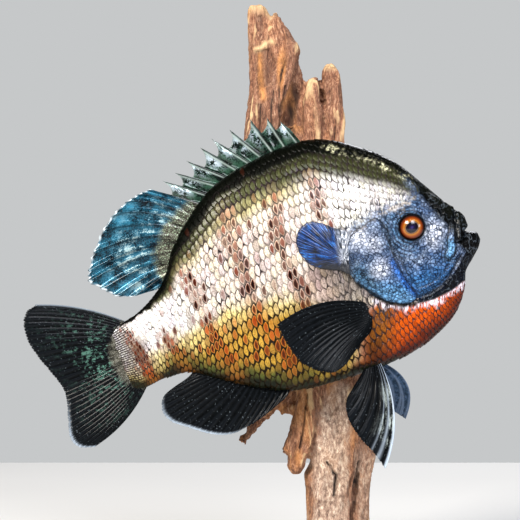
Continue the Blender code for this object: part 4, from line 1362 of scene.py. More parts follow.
@dataclass(frozen=True)
class EarFlap:
    """The soft flap at the gill cover's rear corner, with a feathered edge."""

    pose: Pose
    flank: Flank
    paint: EarPaint
    root: tuple[float, float] = (75, 15)
    over_skin: float = 0.95
    dome: float = 1.0
    thick: float = 0.22
    around: int = 260
    rings: int = 26
    outline: Points = (
        (67.6, 27), (75.7, 33.6), (80.2, 37.3), (84.7, 39.9), (89.4, 39.8), (94, 36.6), (96.6, 31.8), (96.9, 26),
        (94.2, 18.9), (89.3, 14.4), (84, 11.6), (79, 9.4), (74.8, 5.8), (73.6, 9.6), (70.6, 20.3),
    )

    def build(self, side: Side) -> Piece:
        """Build one flap.

        Args:
            side: Which flank.

        Returns:
            The finished piece.
        """
        closed = [self.outline[-1], *self.outline, self.outline[0], self.outline[1]]
        share = (1 + len(self.outline) * np.linspace(0, 1, self.around, endpoint=False)) / (len(closed) - 1)
        rim, root = through(closed, share), np.array(self.root)
        turn = np.linspace(0, math.tau, self.around, endpoint=False)
        noise = Grit(31 + side).layered(np.stack([14 * np.cos(turn), 14 * np.sin(turn), 0 * turn], axis=-1), 2)
        rho = np.linspace(0, 1, self.rings)[:, None]
        spot = root + (rho * (0.985 + 0.018 * noise))[..., None] * (rim - root)
        s, t = spot[..., 0], spot[..., 1]
        near = smooth(82, 75, s)
        rest = self.flank.at(s, t) + self.over_skin + 0.75 * near
        ridge = 0.09 * rho * np.sin(40 * turn + 5 * noise)
        top = rest + self.thick + (self.dome - 0.6 * near) * (1 - rho ** 3) + ridge
        bend = self.pose.bend(s)
        points = np.concatenate([self.pose.world(s, t, bend + side * high) for high in (top, rest)])
        low_side = t - 12 - 0.42 * (s - 76) + 1.5 * noise
        dark = 0.95 * smooth(3.5, -1, low_side) * smooth(92, 86, s) + 0.55 * smooth(0.88, 1, rho)
        masks = {"fan": turn / 1.1 + 0.2 * noise, "reach": rho, "dark": np.clip(dark, 0, 1),
                 "joint": smooth(78, 73, s + 0.2 * (t - 22) + noise)}
        masks = {key: np.tile(np.broadcast_to(values, s.shape).ravel(), 2) for key, values in masks.items()}
        faces = outwards(points, disc_faces(self.rings, self.around))
        piece = mesh_object(f"ear_flap_{side.label}_feathered", points, faces, self.paint, masks)
        weld(piece)
        return attach(piece, "ear_flap_skin", f"ear_flap_{side.label}")


# ---- the fins


@dataclass(frozen=True)
class FinPaint(Finish):
    """Dried fin backed and painted, then lacquered: dark membrane between raised, paler rays.

    The rays catch long thin highlights, and the membrane between them keeps a soft gloss.
    """

    name: str = "lacquered_dark_fin"
    roughness: float = 0.24
    ior: float = 1.4
    specular: float = 0.03
    coat: float = 0.04
    coat_roughness: float = 0.03
    membrane: str = "#040506"
    second: str = "#07090B"
    ray: str = "#101317"
    pale: str = "#C4D4E6"
    # the colour of the painted highlight streaks and patches
    sheen: str = "#7C8C80"
    streak_pitch: float = 18.0  # streaks over the fin's span, one every 2 mm or so
    fleck: float = 2.4  # size of the flecks in the membrane, mm
    grain: float = 0.7  # size of the fine grain that breaks them up, mm
    dust: float = 0.8  # size of the pale specks, mm
    scaly: str = "#A8AAA0"  # the small scales that run out onto the fin's base
    scale: float = 1.2  # their size, mm
    lit: tuple[float, float] = (0.39, 0.5)  # where the lit streaks begin in the noise, and where they are full
    cloud: tuple[float, float] = (0.4, 0.62)  # the same for the membrane's second colour
    broken: float = 0.3  # how far the fine grain breaks up the streaks

    def draw(self, node: Maker, mask: MaskNodes) -> Drawn:
        """Draw rays, painted highlight streaks along them, the pale edge, dust and the base's small scales.

        Args:
            node: Adds a node.
            mask: The piece's point values.

        Returns:
            A node for each input of the shader.
        """
        place = node("TexCoord").outputs["Object"]
        at = node("CombineXYZ", (mask["span"], node("Math", (mask["reach"], 0.12), operation="MULTIPLY")))
        streak = node("TexNoise", {"Vector": at, "Scale": self.streak_pitch, "Detail": 5, "Roughness": 0.7})
        fleck, grain, dust = (
            node("TexNoise", {"Vector": place, "Scale": 1 / (size * MM), "Detail": detail, "Roughness": rough})
            for size, detail, rough in ((self.fleck, 3, 0.5), (self.grain, 2, 0.7), (self.dust, 0, 0.5)))
        cloud = node("Math", (fleck, -0.35), operation="ADD")
        cloud = node("Math", (grain, 0.7, cloud), operation="MULTIPLY_ADD")
        colour = node("MixRGB", (node("MapRange", (cloud, *self.cloud)), self.membrane, self.second))
        # painted highlight streaks, shown where the fin's sheen mask allows
        strong = node("Math", (streak, fleck), operation="MULTIPLY")
        strong = node("Math", (grain, self.broken, strong), operation="MULTIPLY_ADD")
        strong = node("MapRange", (strong, *self.lit))
        edge = node("Math", (streak, 1.1, 0.35), operation="MULTIPLY_ADD")
        dust = node("MapRange", (dust, 0.75, 0.81, 0, 0.35))
        colour = coats(node, colour, (
            (strong, mask["sheen"], self.sheen), (mask["ray"], 0.75, self.ray), (mask["pale"], edge, self.pale),
            (dust, None, "#69737A")))
        cells = node("TexVoronoi", {"Vector": place, "Scale": 1 / (self.scale * MM)}, feature="DISTANCE_TO_EDGE")
        scales = node("ValToRGB", (cells,), ((0.02, "#17160F"), (0.13, "#605E54"), (0.34, self.scaly)))
        scales = shades(node, scales, ((0.85, streak, ((0.4, "#3A3A38"), (0.52, "#FFFFFF"))),))
        rooted = node("Math", (fleck, 1, -0.5), operation="MULTIPLY_ADD")
        rooted = node("MapRange", (node("Math", (rooted, mask["scaly"]), operation="ADD"), 0.3, 0.7))
        colour = coats(node, colour, ((rooted, None, scales),))
        dent = node("Bump", {"Strength": 0.3, "Distance": 0.15 * MM, "Height": streak})
        return {"Base Color": colour, "Normal": dent}


Shape = Callable[[Array, Array], Array]


def nothing(u: Array, v: Array) -> Array:
    """Return 0 everywhere."""
    return 0 * u * v


def blade(name: str, pose: Pose, middle: tuple[Array, Array, Array], half: Array, paint: Finish,
          masks: Masks) -> Piece:
    """Make a closed thin fin from its middle surface.

    Args:
        name: The piece's name.
        pose: The fish's frame.
        middle: s, t and w of its middle surface, base to margin.
        half: Half its thickness at each point.
        paint: Its finish.
        masks: The markings of the middle surface.

    Returns:
        The new object.
    """
    s, t, w = middle
    points = np.concatenate([pose.world(s, t, w + half), pose.world(s, t, w - half)])
    both = {key: np.tile(np.ravel(np.broadcast_to(values, s.shape)), 2) for key, values in masks.items()}
    return mesh_object(name, points, outwards(points, sheet_faces(*s.shape)), paint, both)


@dataclass(frozen=True)
class Fin:
    """One fin of soft rays: its outline, its rays and how it hangs."""

    node: str
    pose: Pose
    paint: FinPaint
    base: Points
    margin: Points
    rays: int
    sway: Callable[[Array, Array, Array], Array]  # w at u along the base, v along the ray, s from the snout
    bow: Callable[[Array], Array]  # how far the middle of the ray at u bulges
    slot: str = "dark_fin_membrane"
    pale: Shape = nothing
    # where painted highlight streaks may show
    sheen: Shape = nothing
    scaly: Shape = nothing
    thick: tuple[float, float] = (1.6, 0.55)
    ridge: float = 0.45  # how much of the thickness the rays stand up by
    forks: float = 0.4
    pleat: float = 0.12
    fray: float = 0.02
    rows: int = 64
    per_ray: int = 14

    def build(self) -> Piece:
        """Build the fin.

        Returns:
            The finished piece.
        """
        columns = self.per_ray * (self.rays - 1) + 1
        v, u = np.meshgrid(np.linspace(0, 1, self.rows), np.linspace(0, 1, columns), indexing="ij")
        order = u * (self.rays - 1)
        local = order - np.round(order)
        ridge, tip = self.ridges(local, v), self.ridges(local, np.ones_like(v))
        grit = Grit(len(self.node) + self.rays)
        tear = grit.layered(np.stack([order[0] * 1.7, 0 * order[0], 0 * order[0]], axis=-1), 3)[None, :]
        start = through(self.base, u)
        along = through(self.margin, u) - start
        square = np.stack([-along[..., 1], along[..., 0]], axis=-1) / np.linalg.norm(along, axis=-1)[..., None]
        reach = v * (1 - self.fray * (1 - tip) * smooth(0.5, 1, v) - 0.5 * self.fray * np.maximum(tear, 0))
        spot = start + reach[..., None] * along + (4 * v * (1 - v) * self.bow(u))[..., None] * square
        s, t = spot[..., 0], spot[..., 1]
        foot, edge = self.thick
        half = 0.5 * (foot + (edge - foot) * v) * (1 - self.ridge + self.ridge * ridge)
        half = half * (1 - 0.55 * smooth(0.96, 1, v)) * (1 - 0.4 * smooth(0.985, 1, np.abs(2 * u - 1)))
        w = self.sway(u, v, s) + self.pleat * smooth(0, 0.5, v) * np.cos(math.tau * order)
        masks = {"span": u, "reach": v, "ray": ridge}
        masks |= {name: np.clip(getattr(self, name)(u, v), 0, 1) for name in ("pale", "sheen", "scaly")}
        return attach(blade(self.node + "_rayed", self.pose, (s, t, w), half, self.paint, masks), self.slot, self.node)

    def ridges(self, local: Array, v: Array) -> Array:
        """Return how high the rays stand: each ray forks twice on its way out.

        Args:
            local: Distance from the nearest ray, in ray spacings.
            v: Distance out along the ray, from 0 to 1.

        Returns:
            Values from 0 between the rays to 1 on them.
        """
        first = 0.25 * smooth(self.forks, 1.1, v)
        second = 0.12 * smooth(self.forks + 0.25, 1.1, v)
        wide = 0.13 - 0.065 * v
        return np.max([bump(local - a * first - b * second, wide) for a in (-1, 1) for b in (-1, 1)], axis=0)


@dataclass(frozen=True)
class SpinyFin:
    """The front dorsal fin: ten stout spines with a membrane that sags behind each tip."""

    pose: Pose
    paint: FinPaint
    bases: Points = (
        (77.4, 84), (84.4, 83.6), (91.6, 83), (98.5, 82.4), (106.2, 81.8), (113.5, 80.2), (121, 78.4), (128, 76.4),
        (134.4, 73), (139.6, 69.4),
    )
    tips: Points = (
        (82.7, 97.7), (89, 102), (98, 104.2), (110.6, 102.3), (121.6, 100.8), (129, 98.2), (138.6, 93.8),
        (146.8, 89.6), (154.6, 87.6), (163, 85.6),
    )
    sag: Points = ((0, 1), (0.05, 0.93), (0.2, 0.8), (0.45, 0.68), (0.7, 0.6), (0.9, 0.56), (0.96, 0.58), (1, 1))
    per_gap: int = 18
    rows: int = 44

    def build(self) -> Piece:
        """Build the fin.

        Returns:
            The finished piece.
        """
        gaps = len(self.bases) - 1
        order = np.arange(-3, gaps * self.per_gap + 1) / self.per_gap
        ahead = order < 0  # a short strip of web in front of the first spine
        feet, heads = (np.stack([np.interp(order, range(gaps + 1), known) for known in zip(*line)], axis=-1)
                       for line in (self.bases, self.tips))
        local = np.where(ahead, 0, order - np.floor(order))
        sag = np.where(ahead, 0.55 + 0.1 * (3 + order * self.per_gap), np.interp(local, *np.array(self.sag).T))
        feet = feet - np.stack([np.where(ahead, -order * 8, 0), 0 * order], axis=-1)
        span = heads - np.where(ahead[:, None], np.array(self.bases[0]), feet)
        v = np.linspace(-0.16, 1, self.rows)[:, None]
        spot = feet[None] + np.where(v < 0, v, v * sag)[..., None] * span[None]
        s, t = spot[..., 0], spot[..., 1]
        ridge = np.maximum(bump(local, 0.075), bump(1 - local, 0.075)) * ~ahead + bump(order, 0.05) * ahead
        half = 0.5 * (0.5 - 0.2 * v + ridge * (1.35 - 1.05 * np.maximum(v, 0)))
        crumple = np.stack([s.ravel() / 4, t.ravel() / 7, 0 * s.ravel()], axis=-1)
        crumple = Grit(9).layered(crumple, 2).reshape(s.shape)
        belly = 0.75 * np.sin(math.pi * local) * np.where(np.floor(order) % 2 == 0, 1, -1)
        w = self.pose.bend(s) + (belly + 0.5 * crumple) * smooth(0, 0.5, v) * (1 - ridge)
        # painted highlight patches high in each web, and a pale painted highlight line just behind each spine
        highlight_window = bump(v - 0.72, 0.24) * bump(local - 0.36, 0.22) * (0.75 + 0.25 * np.cos(2.4 * np.floor(order)))
        masks = {"span": order / gaps, "reach": np.clip(v, 0, 1), "ray": ridge, "scaly": 0 * v,
                 "pale": np.clip(0.8 * bump(local - 0.13, 0.035) * ~ahead + 0.2 * smooth(0.93, 1, v), 0, 1),
                 "sheen": np.clip(0.95 * highlight_window - 0.05, 0, 1)}
        return attach(blade("spiny_dorsal_fin_web", self.pose, (s, t, w), half, self.paint, masks),
                      "back_fin_membrane", "spiny_dorsal_fin")


@dataclass(frozen=True)
class Fins:
    """All the fins, from the same outlines as their solids."""

    pose: Pose
    dark: FinPaint = FinPaint()
    back: FinPaint = FinPaint(
        name="lacquered_back_fin", metallic=0.2, membrane="#060E16", second="#2A6A84", ray="#020405", pale="#C8D4DC",
        sheen="#A6BCBC", specular=0.08, coat=0.12, fleck=7, streak_pitch=20, scaly="#7C9078", scale=1.1,
        lit=(0.49, 0.56), cloud=(0.34, 0.66), broken=0.42)
    spiny: FinPaint = FinPaint(
        name="lacquered_spiny_fin", metallic=0.2, membrane="#060C0A", second="#2A4638", ray="#020403", pale="#9CACA8",
        sheen="#B4C2D0", roughness=0.18, specular=0.1, coat=0.3, fleck=6, streak_pitch=30, lit=(0.43, 0.5), broken=0.4)
    tail: FinPaint = FinPaint(
        name="lacquered_tail_fin", sheen="#4E7468", scaly="#6E6F69", scale=0.85, streak_pitch=26, lit=(0.43, 0.5))
    front: FinPaint = FinPaint(
        name="lacquered_front_fin", sheen="#B4C0BE", streak_pitch=44, fleck=12, lit=(0.37, 0.45), broken=0.22)
    slate: FinPaint = FinPaint(
        name="lacquered_slate_fin", membrane="#1A2838", second="#2C4058", ray="#5C6C84", sheen="#42546E")
    pectoral: Points = ((66.6, -14.4), (68.6, -18.8), (71, -23.2), (73.4, -27.2))  # where they root
    pelvic: Points = ((74, -45), (77, -45.4), (80, -45.6), (83, -45.6))
    stem: float = 17.45  # from the solid right pectoral's outermost point to its root, mm

    def build(self) -> None:
        """Build every fin."""
        pose = self.pose
        low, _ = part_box("pectoral_fin_right")
        rest = (pose.snout[1] - low.y / MM) - self.stem
        SpinyFin(pose, self.spiny).build()
        # each fin's sheen mask places its painted highlight streaks
        Fin("soft_dorsal_fin", pose, self.back,
            ((139.6, 69), (148.5, 61.6), (157, 54), (164.4, 44.6), (169.8, 35.6)),
            ((162.6, 85.6), (168.6, 85.2), (176, 83.7), (186.2, 79.2), (195.5, 71.8), (204.4, 61.8), (209.8, 53),
             (210.8, 47.8), (204.4, 41), (198.8, 35.4), (190, 32.6), (181, 32.4)),
            12, lambda u, v, s: pose.bend(s), lambda u: 4.5 * np.sin(math.pi * u) - 1.6 * u,
            slot="back_fin_membrane", pleat=0.75, forks=0.8, ridge=0.3, scaly=lambda u, v: smooth(0.42, 0.04, v),
            pale=lambda u, v: smooth(0.97, 0.985, v) * (0.55 + 0.45 * np.sin(150 * u)),
            sheen=lambda u, v: 0.9 * bump(v - 0.44, 0.18) + 0.5 * smooth(0.75, 1, u) + 0.4 * smooth(0.9, 0.97, v),
            ).build()
        Fin("caudal_fin", pose, self.tail, ((197, 19.6), (200, 12), (201.5, 2), (200, -8), (197.6, -14.6)),
            ((242, 46.2), (249.4, 42.6), (252.4, 32), (250.4, 20), (246.4, 8.6), (243, -2), (243.2, -9.6),
             (245.8, -19.6), (247.6, -29), (244.8, -35.4), (237, -38.4)),
            34, lambda u, v, s: pose.bend(s) + 1.6 * v * np.sin(3 * math.pi * u), lambda u: 3 - 6.6 * u,
            per_ray=10, ridge=0.1, scaly=lambda u, v: smooth(0.3, 0.04, v + 0.1 * np.cos(math.tau * u)),
            pale=lambda u, v: 0.55 * smooth(0.96, 0.99, v) * smooth(0.55, 0.9, u) + 0.3 * smooth(0.02, 0, u),
            sheen=lambda u, v: 0.9 * bump(u - 0.45, 0.24) * bump(v - 0.36, 0.24)).build()
        Fin("anal_fin", pose, self.dark, ((124.6, -42.4), (138, -36.6), (150, -29.6), (160, -22.4), (170.4, -15.6)),
            ((133, -48.6), (145, -53.2), (156, -55.6), (165, -56.2), (175, -52.4), (185.6, -44.8), (193.4, -38.6),
             (195.8, -31.6), (192.8, -24.8), (185.6, -21.6), (176.6, -19.4)),
            22, lambda u, v, s: pose.bend(s) + 3 * v * (1 - u), lambda u: u - 1, per_ray=10, ridge=0.12,
            pale=lambda u, v: 0.6 * smooth(0.94, 1, v) * smooth(0.15, 0.4, u) * smooth(0.85, 0.55, u)).build()
        Fin("pectoral_fin_right", pose, self.dark, self.pectoral,
            ((121, -6.4), (120.4, -14), (118, -23), (115, -30.6), (109, -36.8), (101, -40.8), (94, -39.4),
             (86.6, -34.4), (78.6, -29)),
            22, lambda u, v, s: rest + 17 * v ** 0.75, lambda u: 6.8 * (1 - u) ** 1.5,
            per_ray=12, ridge=0.12, pleat=0.06).build()
        Fin("pectoral_fin_left", pose, self.dark, self.pectoral,
            ((97, -41), (96, -44), (92, -45.6), (87, -43.4), (80.6, -36)),
            9, lambda u, v, s: -(16.4 + 2 * v), lambda u: 1 + 0 * u, thick=(1.3, 0.5)).build()
        Fin("pelvic_fin_right", pose, self.front, self.pelvic,
            ((90.6, -100.6), (93.8, -90.2), (97.4, -82.4), (100, -74), (100.8, -66), (98.6, -58.4), (92.6, -52.8)),
            9, lambda u, v, s: 5 + 14 * v - 5 * u * v, lambda u: -6.4 * (1 - u), ridge=0.18,
            pale=lambda u, v: 0.75 * smooth(0.04, 0.012, u) + 0.3 * bump(u - 0.11, 0.012) + 0.2 * bump(u - 0.2, 0.008),
            sheen=lambda u, v: 0.6 * smooth(0.34, 0.06, u)).build()
        Fin("pelvic_fin_left", pose, self.slate, self.pelvic,
            ((69.4, -82.6), (73.6, -77.4), (78.4, -70), (82, -62.6), (82.6, -55)),
            6, lambda u, v, s: -5 - 22 * v * v + 6 * u * v, lambda u: -8.6 * (1 - u),
            sheen=lambda u, v: 0.8 + 0 * u).build()


# ---- the driftwood


@dataclass(frozen=True)
class WeatheredWood(Finish):
    """Pine driftwood, worn by water and sun: matt, with long raised grain, grey where old and orange where torn."""

    name: str = "weathered_pine"
    roughness: float = 0.82
    ior: float = 1.45
    grain: float = 0.6  # width of a grain line, mm
    chip: float = 1.4  # size of the flaked patches, mm
    grit: float = 1.7  # and of the crumbled grey ones

    def draw(self, node: Maker, mask: MaskNodes) -> Drawn:
        """Draw grain, stains, painted shade in the cracks and hollows, and pale broken edges.

        Args:
            node: Adds a node.
            mask: The piece's point values.

        Returns:
            A node for each input of the shader.
        """
        place = node("TexCoord").outputs["Object"]
        bent = node("TexNoise", {"Vector": place, "Scale": 1 / (26 * MM), "Detail": 3})
        shift = node("VectorMath", (bent.outputs["Color"], (0.012, 0.012, 0)), operation="MULTIPLY")
        moved = node("VectorMath", (place, shift), operation="ADD")
        long, short = (node("Mapping", {"Vector": moved, "Scale": (1, 1, shrink)}) for shrink in (0.085, 0.45))
        grain, broad, chips, grit = (
            node("TexNoise", {"Vector": at, "Scale": 1 / (size * MM), "Detail": detail, "Roughness": rough})
            for at, size, detail, rough in ((long, self.grain, 6, 0.7), (long, 9, 3, 0.5),
                                            (short, self.chip, 5, 0.75), (short, self.grit, 6, 0.8)))
        tan, wash, grey = (node("ValToRGB", (value,), stops) for value, stops in (
            (grain, ((0.36, "#371F16"), (0.44, "#714A3B"), (0.5, "#966C54"), (0.56, "#B88E72"), (0.65, "#E2C4A4"))),
            (broad, ((0.36, "#84695A"), (0.5, "#8C6650"), (0.6, "#966A4E"), (0.7, "#AC8262"))),
            (grit, ((0.35, "#544036"), (0.43, "#8A7060"), (0.52, "#B09480"), (0.62, "#E0CDB8")))))
        colour = node("MixRGB", (0.42, tan, wash))
        colour = shades(node, colour, (
            (0.75, chips, ((0.38, "#77594A"), (0.46, "#C4A28C"), (0.53, "#F0E0D2"), (0.6, "#FFFFFF"))),))
        torn = node("Math", (chips, 2.4, -0.6), operation="MULTIPLY_ADD")
        crest = node("Math", (grit, 1.6, 0), operation="MULTIPLY_ADD")
        # the last coat is dark painted shade in the cracks and hollows
        colour = coats(node, colour, (
            (mask["grey"], None, grey), (mask["torn"], torn, "#C98846"), (mask["crest"], crest, "#E2C292"),
            (mask["hollow"], None, "#23150F")))
        both = node("Math", (grain, 0.9, chips), operation="MULTIPLY_ADD")
        dent = node("Bump", {"Strength": 1, "Distance": 0.8 * MM, "Height": both})
        rough = node("MapRange", (grit, 0, 1, 0.66, 0.95))
        return {"Base Color": colour, "Roughness": rough, "Normal": dent}


@dataclass(frozen=True)
class Driftwood:
    """The log behind the fish: the solid's form, worn along its grain. Lines on it are (x, z), mm."""

    solid: Piece
    wood: WeatheredWood
    voxel: float = 0.65  # mm
    notch: tuple[float, float, float] = (-22.6, 1.5, 4.2)  # in the left prong's top: x, half width, depth
    cracks: tuple[tuple[float, Points], ...] = (  # half width, then the line
        (0.4, ((28, -112), (26, -122), (24.6, -134), (22.6, -150), (21.8, -176))),
        (0.45, ((-2, -74), (-4, -92), (-5.6, -104))), (0.35, ((-28, 88), (-29, 66))),
        (0.35, ((-21.6, 96), (-22.4, 82), (-22, 62))), (0.4, ((14, 80), (12, 64))),
        (0.5, ((9, -112), (14, -120), (13, -131))), (0.4, ((30, 76), (31, 60))),
        (0.35, ((-15.6, 112), (-18.6, 98), (-18, 84))), (0.5, ((-13.6, 98), (-16.4, 82), (-17.4, 64))),
    )
    recess: Points = (
        (-8.6, 100), (-6.4, 94), (-8.4, 86), (-10.6, 76), (-12, 60), (-17, 60), (-15, 76), (-12.4, 88), (-10.4, 96))
    ledges: tuple[tuple[float, Points], ...] = (  # depth, then the outline
        (2, ((-32.5, 118.5), (-23, 120), (-19.5, 112), (-24, 99), (-30, 96), (-33, 108))),
        (1.2, ((-31.5, 139), (-27.5, 139), (-24.6, 124), (-30.4, 124))),
    )
    step: Points = ((-31, 119), (-28, 119.6), (-25.5, 122.6), (-22.4, 123.4))  # a pale broken step
    streak: Points = ((-29, 116), (-28.4, 104), (-26.8, 92))  # a torn streak under it

    def build(self) -> Piece:
        """Build the log.

        Returns:
            The finished piece.
        """
        rough = bpy.data.objects.new("driftwood_rough", self.solid.data.copy())
        bpy.context.scene.collection.objects.link(rough)
        remesh = rough.modifiers.new("remesh", "REMESH")
        remesh.mode = "VOXEL"
        remesh.voxel_size = self.voxel * MM * 1
        soften = rough.modifiers.new("soften", "SMOOTH")
        soften.factor, soften.iterations = 0.5, 12
        graph = bpy.context.evaluated_depsgraph_get()
        mesh = bpy.data.meshes.new_from_object(rough.evaluated_get(graph))
        bpy.data.objects.remove(rough)
        flat = np.empty(3 * len(mesh.vertices), np.float32)
        mesh.vertices.foreach_get("co", flat)
        place = flat.reshape(-1, 3).astype(float) / MM
        mesh.vertex_normals.foreach_get("vector", flat)
        normal = flat.reshape(-1, 3).astype(float)
        quads = np.array([tuple(p.vertices) for p in mesh.polygons])
        bpy.data.meshes.remove(mesh)
        high, masks = self.wear(place, normal)
        middle, width, depth = self.notch
        place[:, 2] -= depth * bump(place[:, 0] - middle, width) * smooth(130, 139, place[:, 2])
        points = ((place + normal * high[:, None]) * MM).astype(np.float32)
        piece = mesh_object("driftwood_log", points, quads, self.wood, masks)
        return attach(piece, "driftwood", "driftwood")

    def wear(self, place: Array, normal: Array) -> tuple[Array, Masks]:
        """Return how far the wood has worn in, and where.

        Args:
            place: Points, mm.
            normal: Which way the surface faces at each.

        Returns:
            Heights over the solid, below 0, and the finish's masks.
        """
        x, y, z = place.T
        grit = Grit(77)
        lean = place + 4 * np.stack([grit.at(place / 34), grit.at(place / 34 + 9.1), 0 * x], axis=-1)
        thin, mid, thick = (lean * np.array([1, 1, shrink]) for shrink in (0.11, 0.2, 0.36))
        broad = grit.layered(thin / 9)
        ribs = 1 - np.abs(grit.at(thin / 3.1 + 3.3))
        fine = grit.layered(mid / 1.6 + 7.7, 2)
        flakes = grit.layered(thick / 7.5 + 5.5, 3)
        steps = 0.5 * (np.floor(3 * flakes) + smooth(0.72, 1, (3 * flakes) % 1)) / 3
        edge = 5 * grit.layered(place / 10 + 4.4)
        grey = smooth(-64, -76, z + edge) * smooth(24, 18, x + edge)
        grey = grey * smooth(-3, 3, x - 0.22 * np.maximum(z + 112, 0) + edge)
        grey = np.maximum(grey, 0.6 * smooth(24, 27, x) * smooth(-100, -112, z))
        pits = np.maximum(grit.layered(place / 2.6 + 1.7, 2), 0)
        high = 0.8 * broad - 0.75 + (1.3 * ribs ** 2 - 0.6) * (1 - 0.6 * grey) + 0.5 * fine + 2.3 * steps
        high = high - 1.3 * grey * pits
        # painted shade in the cracks, the recess and the deepest wear
        hollow = np.zeros(len(x))
        front = smooth(0.2, -0.5, normal[:, 1])
        for width, crack in self.cracks:
            away = nearest(crack, x + 0.9 * fine + 0.8 * broad, z)
            high = high - 4 * width * front * bump(away, width)
            hollow = np.maximum(hollow, 0.9 * front * bump(away, 0.8 * width) * smooth(-0.5, 0.3, fine))
        sunk = smooth(-1.6, 1.8, depth_in(self.recess, x + 1.8 * broad + 0.8 * fine, z))
        high = high - 2.8 * front * sunk
        hollow = np.maximum(hollow, 0.6 * front * sunk * smooth(-0.7, 0.5, fine))
        for depth, outline in self.ledges:
            high = high - depth * front * smooth(-0.4, 0.8, depth_in(outline, x, z))
        high = np.minimum(high, -0.05) * smooth(0.3, 3, -y) - 0.02  # nothing wears on the flat back
        hollow = np.clip(hollow + 0.35 * smooth(-1, -2.4, high), 0, 1)
        broken = nearest(self.step, x + broad, z + 1.6 * fine)
        crest = np.max([0.75 * smooth(-0.35, -0.02, high) * smooth(0.2, 0.75, grit.at(place / 11) + 0.35),
                        0.9 * front * bump(broken, 1),
                        0.6 * smooth(137, 145, z) + 0.7 * smooth(107, 111, z) * (x > 4)], axis=0)
        crest = crest * smooth(0.5, 3, -y)
        flaky = 0.7 * bump(x - 19, 6) * smooth(-82, -90, z) * smooth(-140, -128, z)
        torn = np.max([0.75 * smooth(0.2, 0.65, grit.layered(mid / 7 + 2.2, 2)) * (1 - 0.6 * grey),
                       0.6 * smooth(2, -3, x) * smooth(-58, -74, z) * smooth(-0.5, 0.4, flakes),
                       flaky * smooth(-0.3, 0.4, flakes),
                       bump(x - 35, 2.4) * smooth(78, 84, z) * smooth(108, 102, z),
                       bump(nearest(self.streak, x, z), 1.3)], axis=0)
        return high, {"hollow": hollow, "crest": np.clip(crest, 0, 1), "grey": grey, "torn": np.clip(torn, 0, 1)}


# ---- stage, light and camera


@dataclass(frozen=True)
class StagePaint(Finish):
    """Matt emulsion on a studio floor, rolled on: pale, with a very faint unevenness."""

    name: str = "pale_matt_emulsion"
    roughness: float = 0.9

    def draw(self, node: Maker, mask: MaskNodes) -> Drawn:
        """Draw the faint marks of the roller.

        Args:
            node: Adds a node.
            mask: The piece's point values.

        Returns:
            A node for each input of the shader.
        """
        noise = node("TexNoise", {"Scale": 6, "Detail": 2})
        return {"Base Color": node("ValToRGB", (noise,), ((0.3, "#E4E4E2"), (0.7, "#E9E9E7")))}


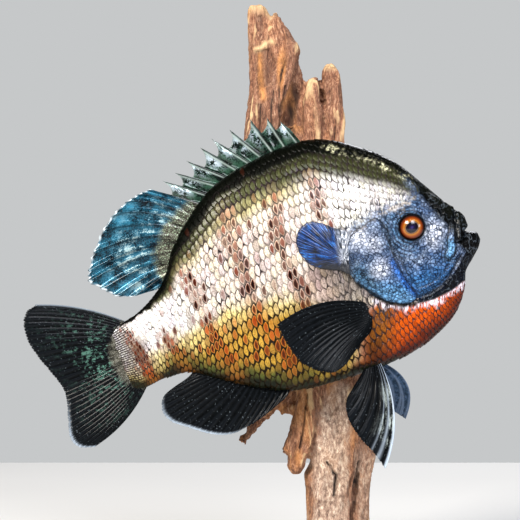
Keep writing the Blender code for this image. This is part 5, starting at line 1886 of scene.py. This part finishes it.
@dataclass(frozen=True)
class Studio:
    """Pale floor, soft lights and the camera."""

    pose: Pose
    distance: float = 1.2  # from the fish's middle plane, m
    view: float = 0.286  # width seen there, m
    sensor: float = 36.0  # the camera's sensor width, mm
    aim_x: float = 3.9  # the camera's line, right of the model's middle, mm
    aim_z: float = 20.5  # and above it, mm
    glow: float = 0.16  # how strongly the room's walls light the model
    reach: float = 1.5  # how far the floor goes to each side and towards the viewer, m
    behind: float = 0.75  # and behind the model, m
    gap: float = 0.0006  # between the model's foot and the floor, m
    lamps: tuple[tuple[Any, ...], ...] = (  # name, place from what it points at (m), side (m), power (W), colour
        ("left_softbox", (-0.6, -1.05, 0.8), 0.4, 34, "#FFF8EE"),
        ("front_softbox", (0.25, -0.95, 0.75), 0.45, 14, "#F6F8FF"),
        ("right_softbox", (1.1, -0.8, 0.25), 0.3, 5, "#F4F7FF"),
        ("rear_softbox", (0.35, 1.3, 0.85), 0.5, 9, "#F6F8FF"),
    )

    def build(self, low: Vector, high: Vector) -> None:
        """Set up the floor, the world, the lights and the camera.

        Args:
            low: The model's lowest corner, m.
            high: Its highest corner, m.
        """
        scene = bpy.context.scene
        scene.view_settings.view_transform = "Standard"
        z = low.z - self.gap
        near, far, wide = -self.reach, self.behind, self.reach
        points = np.array([(-wide, near, z), (wide, near, z), (wide, far, z), (-wide, far, z)])
        floor = mesh_object("studio_floor", points, [(0, 1, 2, 3)], StagePaint())
        floor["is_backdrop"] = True
        world = bpy.data.worlds.new("pale_studio")
        scene.world = world
        world.use_nodes = True
        tree = world.node_tree
        walls = tree.nodes["Background"]
        walls.inputs["Color"].default_value = linear("#E6E8EA")
        walls.inputs["Strength"].default_value = self.glow
        seen = add(tree, "Background", ("#C6C8C9", 1))
        both = add(tree, "MixShader", (add(tree, "LightPath").outputs["Is Camera Ray"], walls, seen))
        tree.links.new(both.outputs[0], tree.nodes["World Output"].inputs["Surface"])
        aim = Vector(((low.x + high.x) / 2 + self.aim_x * MM, self.pose.snout[1] * MM,
                      (low.z + high.z) / 2 + self.aim_z * MM))
        for name, away, size, power, colour in self.lamps:
            self.lamp(name, aim + Vector(away), aim, size, power, colour)
        lens = bpy.data.cameras.new("camera")
        lens.sensor_width = self.sensor
        lens.lens = self.sensor * self.distance / self.view
        camera = bpy.data.objects.new("camera", lens)
        camera.location = aim - Vector((0, self.distance, 0))
        camera.rotation_euler = (math.radians(90), 0, 0)
        scene.collection.objects.link(camera)
        scene.camera = camera

    def lamp(self, name: str, place: Vector, aim: Vector, size: float, power: float, colour: str) -> None:
        """Hang one soft square lamp.

        Args:
            name: Its name.
            place: Where it hangs, m.
            aim: What it points at.
            size: Its side, m.
            power: Its power, W.
            colour: Its hex colour.
        """
        data = bpy.data.lights.new(name, "AREA")
        data.shape, data.size, data.energy = "SQUARE", size, power
        data.color = linear(colour)[:3]
        made = bpy.data.objects.new(name, data)
        made.location = place
        made.rotation_euler = (aim - place).to_track_quat("-Z", "Y").to_euler()
        bpy.context.scene.collection.objects.link(made)


# ---- the whole model


def main() -> None:
    """Build the dressed model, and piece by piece."""
    logging.basicConfig(level=logging.INFO, format="%(name)s %(message)s")
    low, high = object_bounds()
    pose = Pose.of_frame()
    form = BodyForm(pose)
    marks = Markings()
    paint = FishPaint()
    Studio(pose).build(low, high)
    Skin(form, marks, HeadForms(marks), paint).build()
    coat = ScaleCoat(form, marks, paint)
    for side in Side:
        coat.build(side, f"scales_{side.label}_front", lambda s: s < coat.parting)
        coat.build(side, f"scales_{side.label}_rear", lambda s: s >= coat.parting)
    for maker in (Eye(EyeGlass()), EarFlap(pose, Flank(form), EarPaint())):
        for side in Side:
            maker.build(side)
    Fins(pose).build()
    Driftwood(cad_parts["driftwood"], WeatheredWood()).build()
    low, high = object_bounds()


if __name__ == "__main__":
    main()
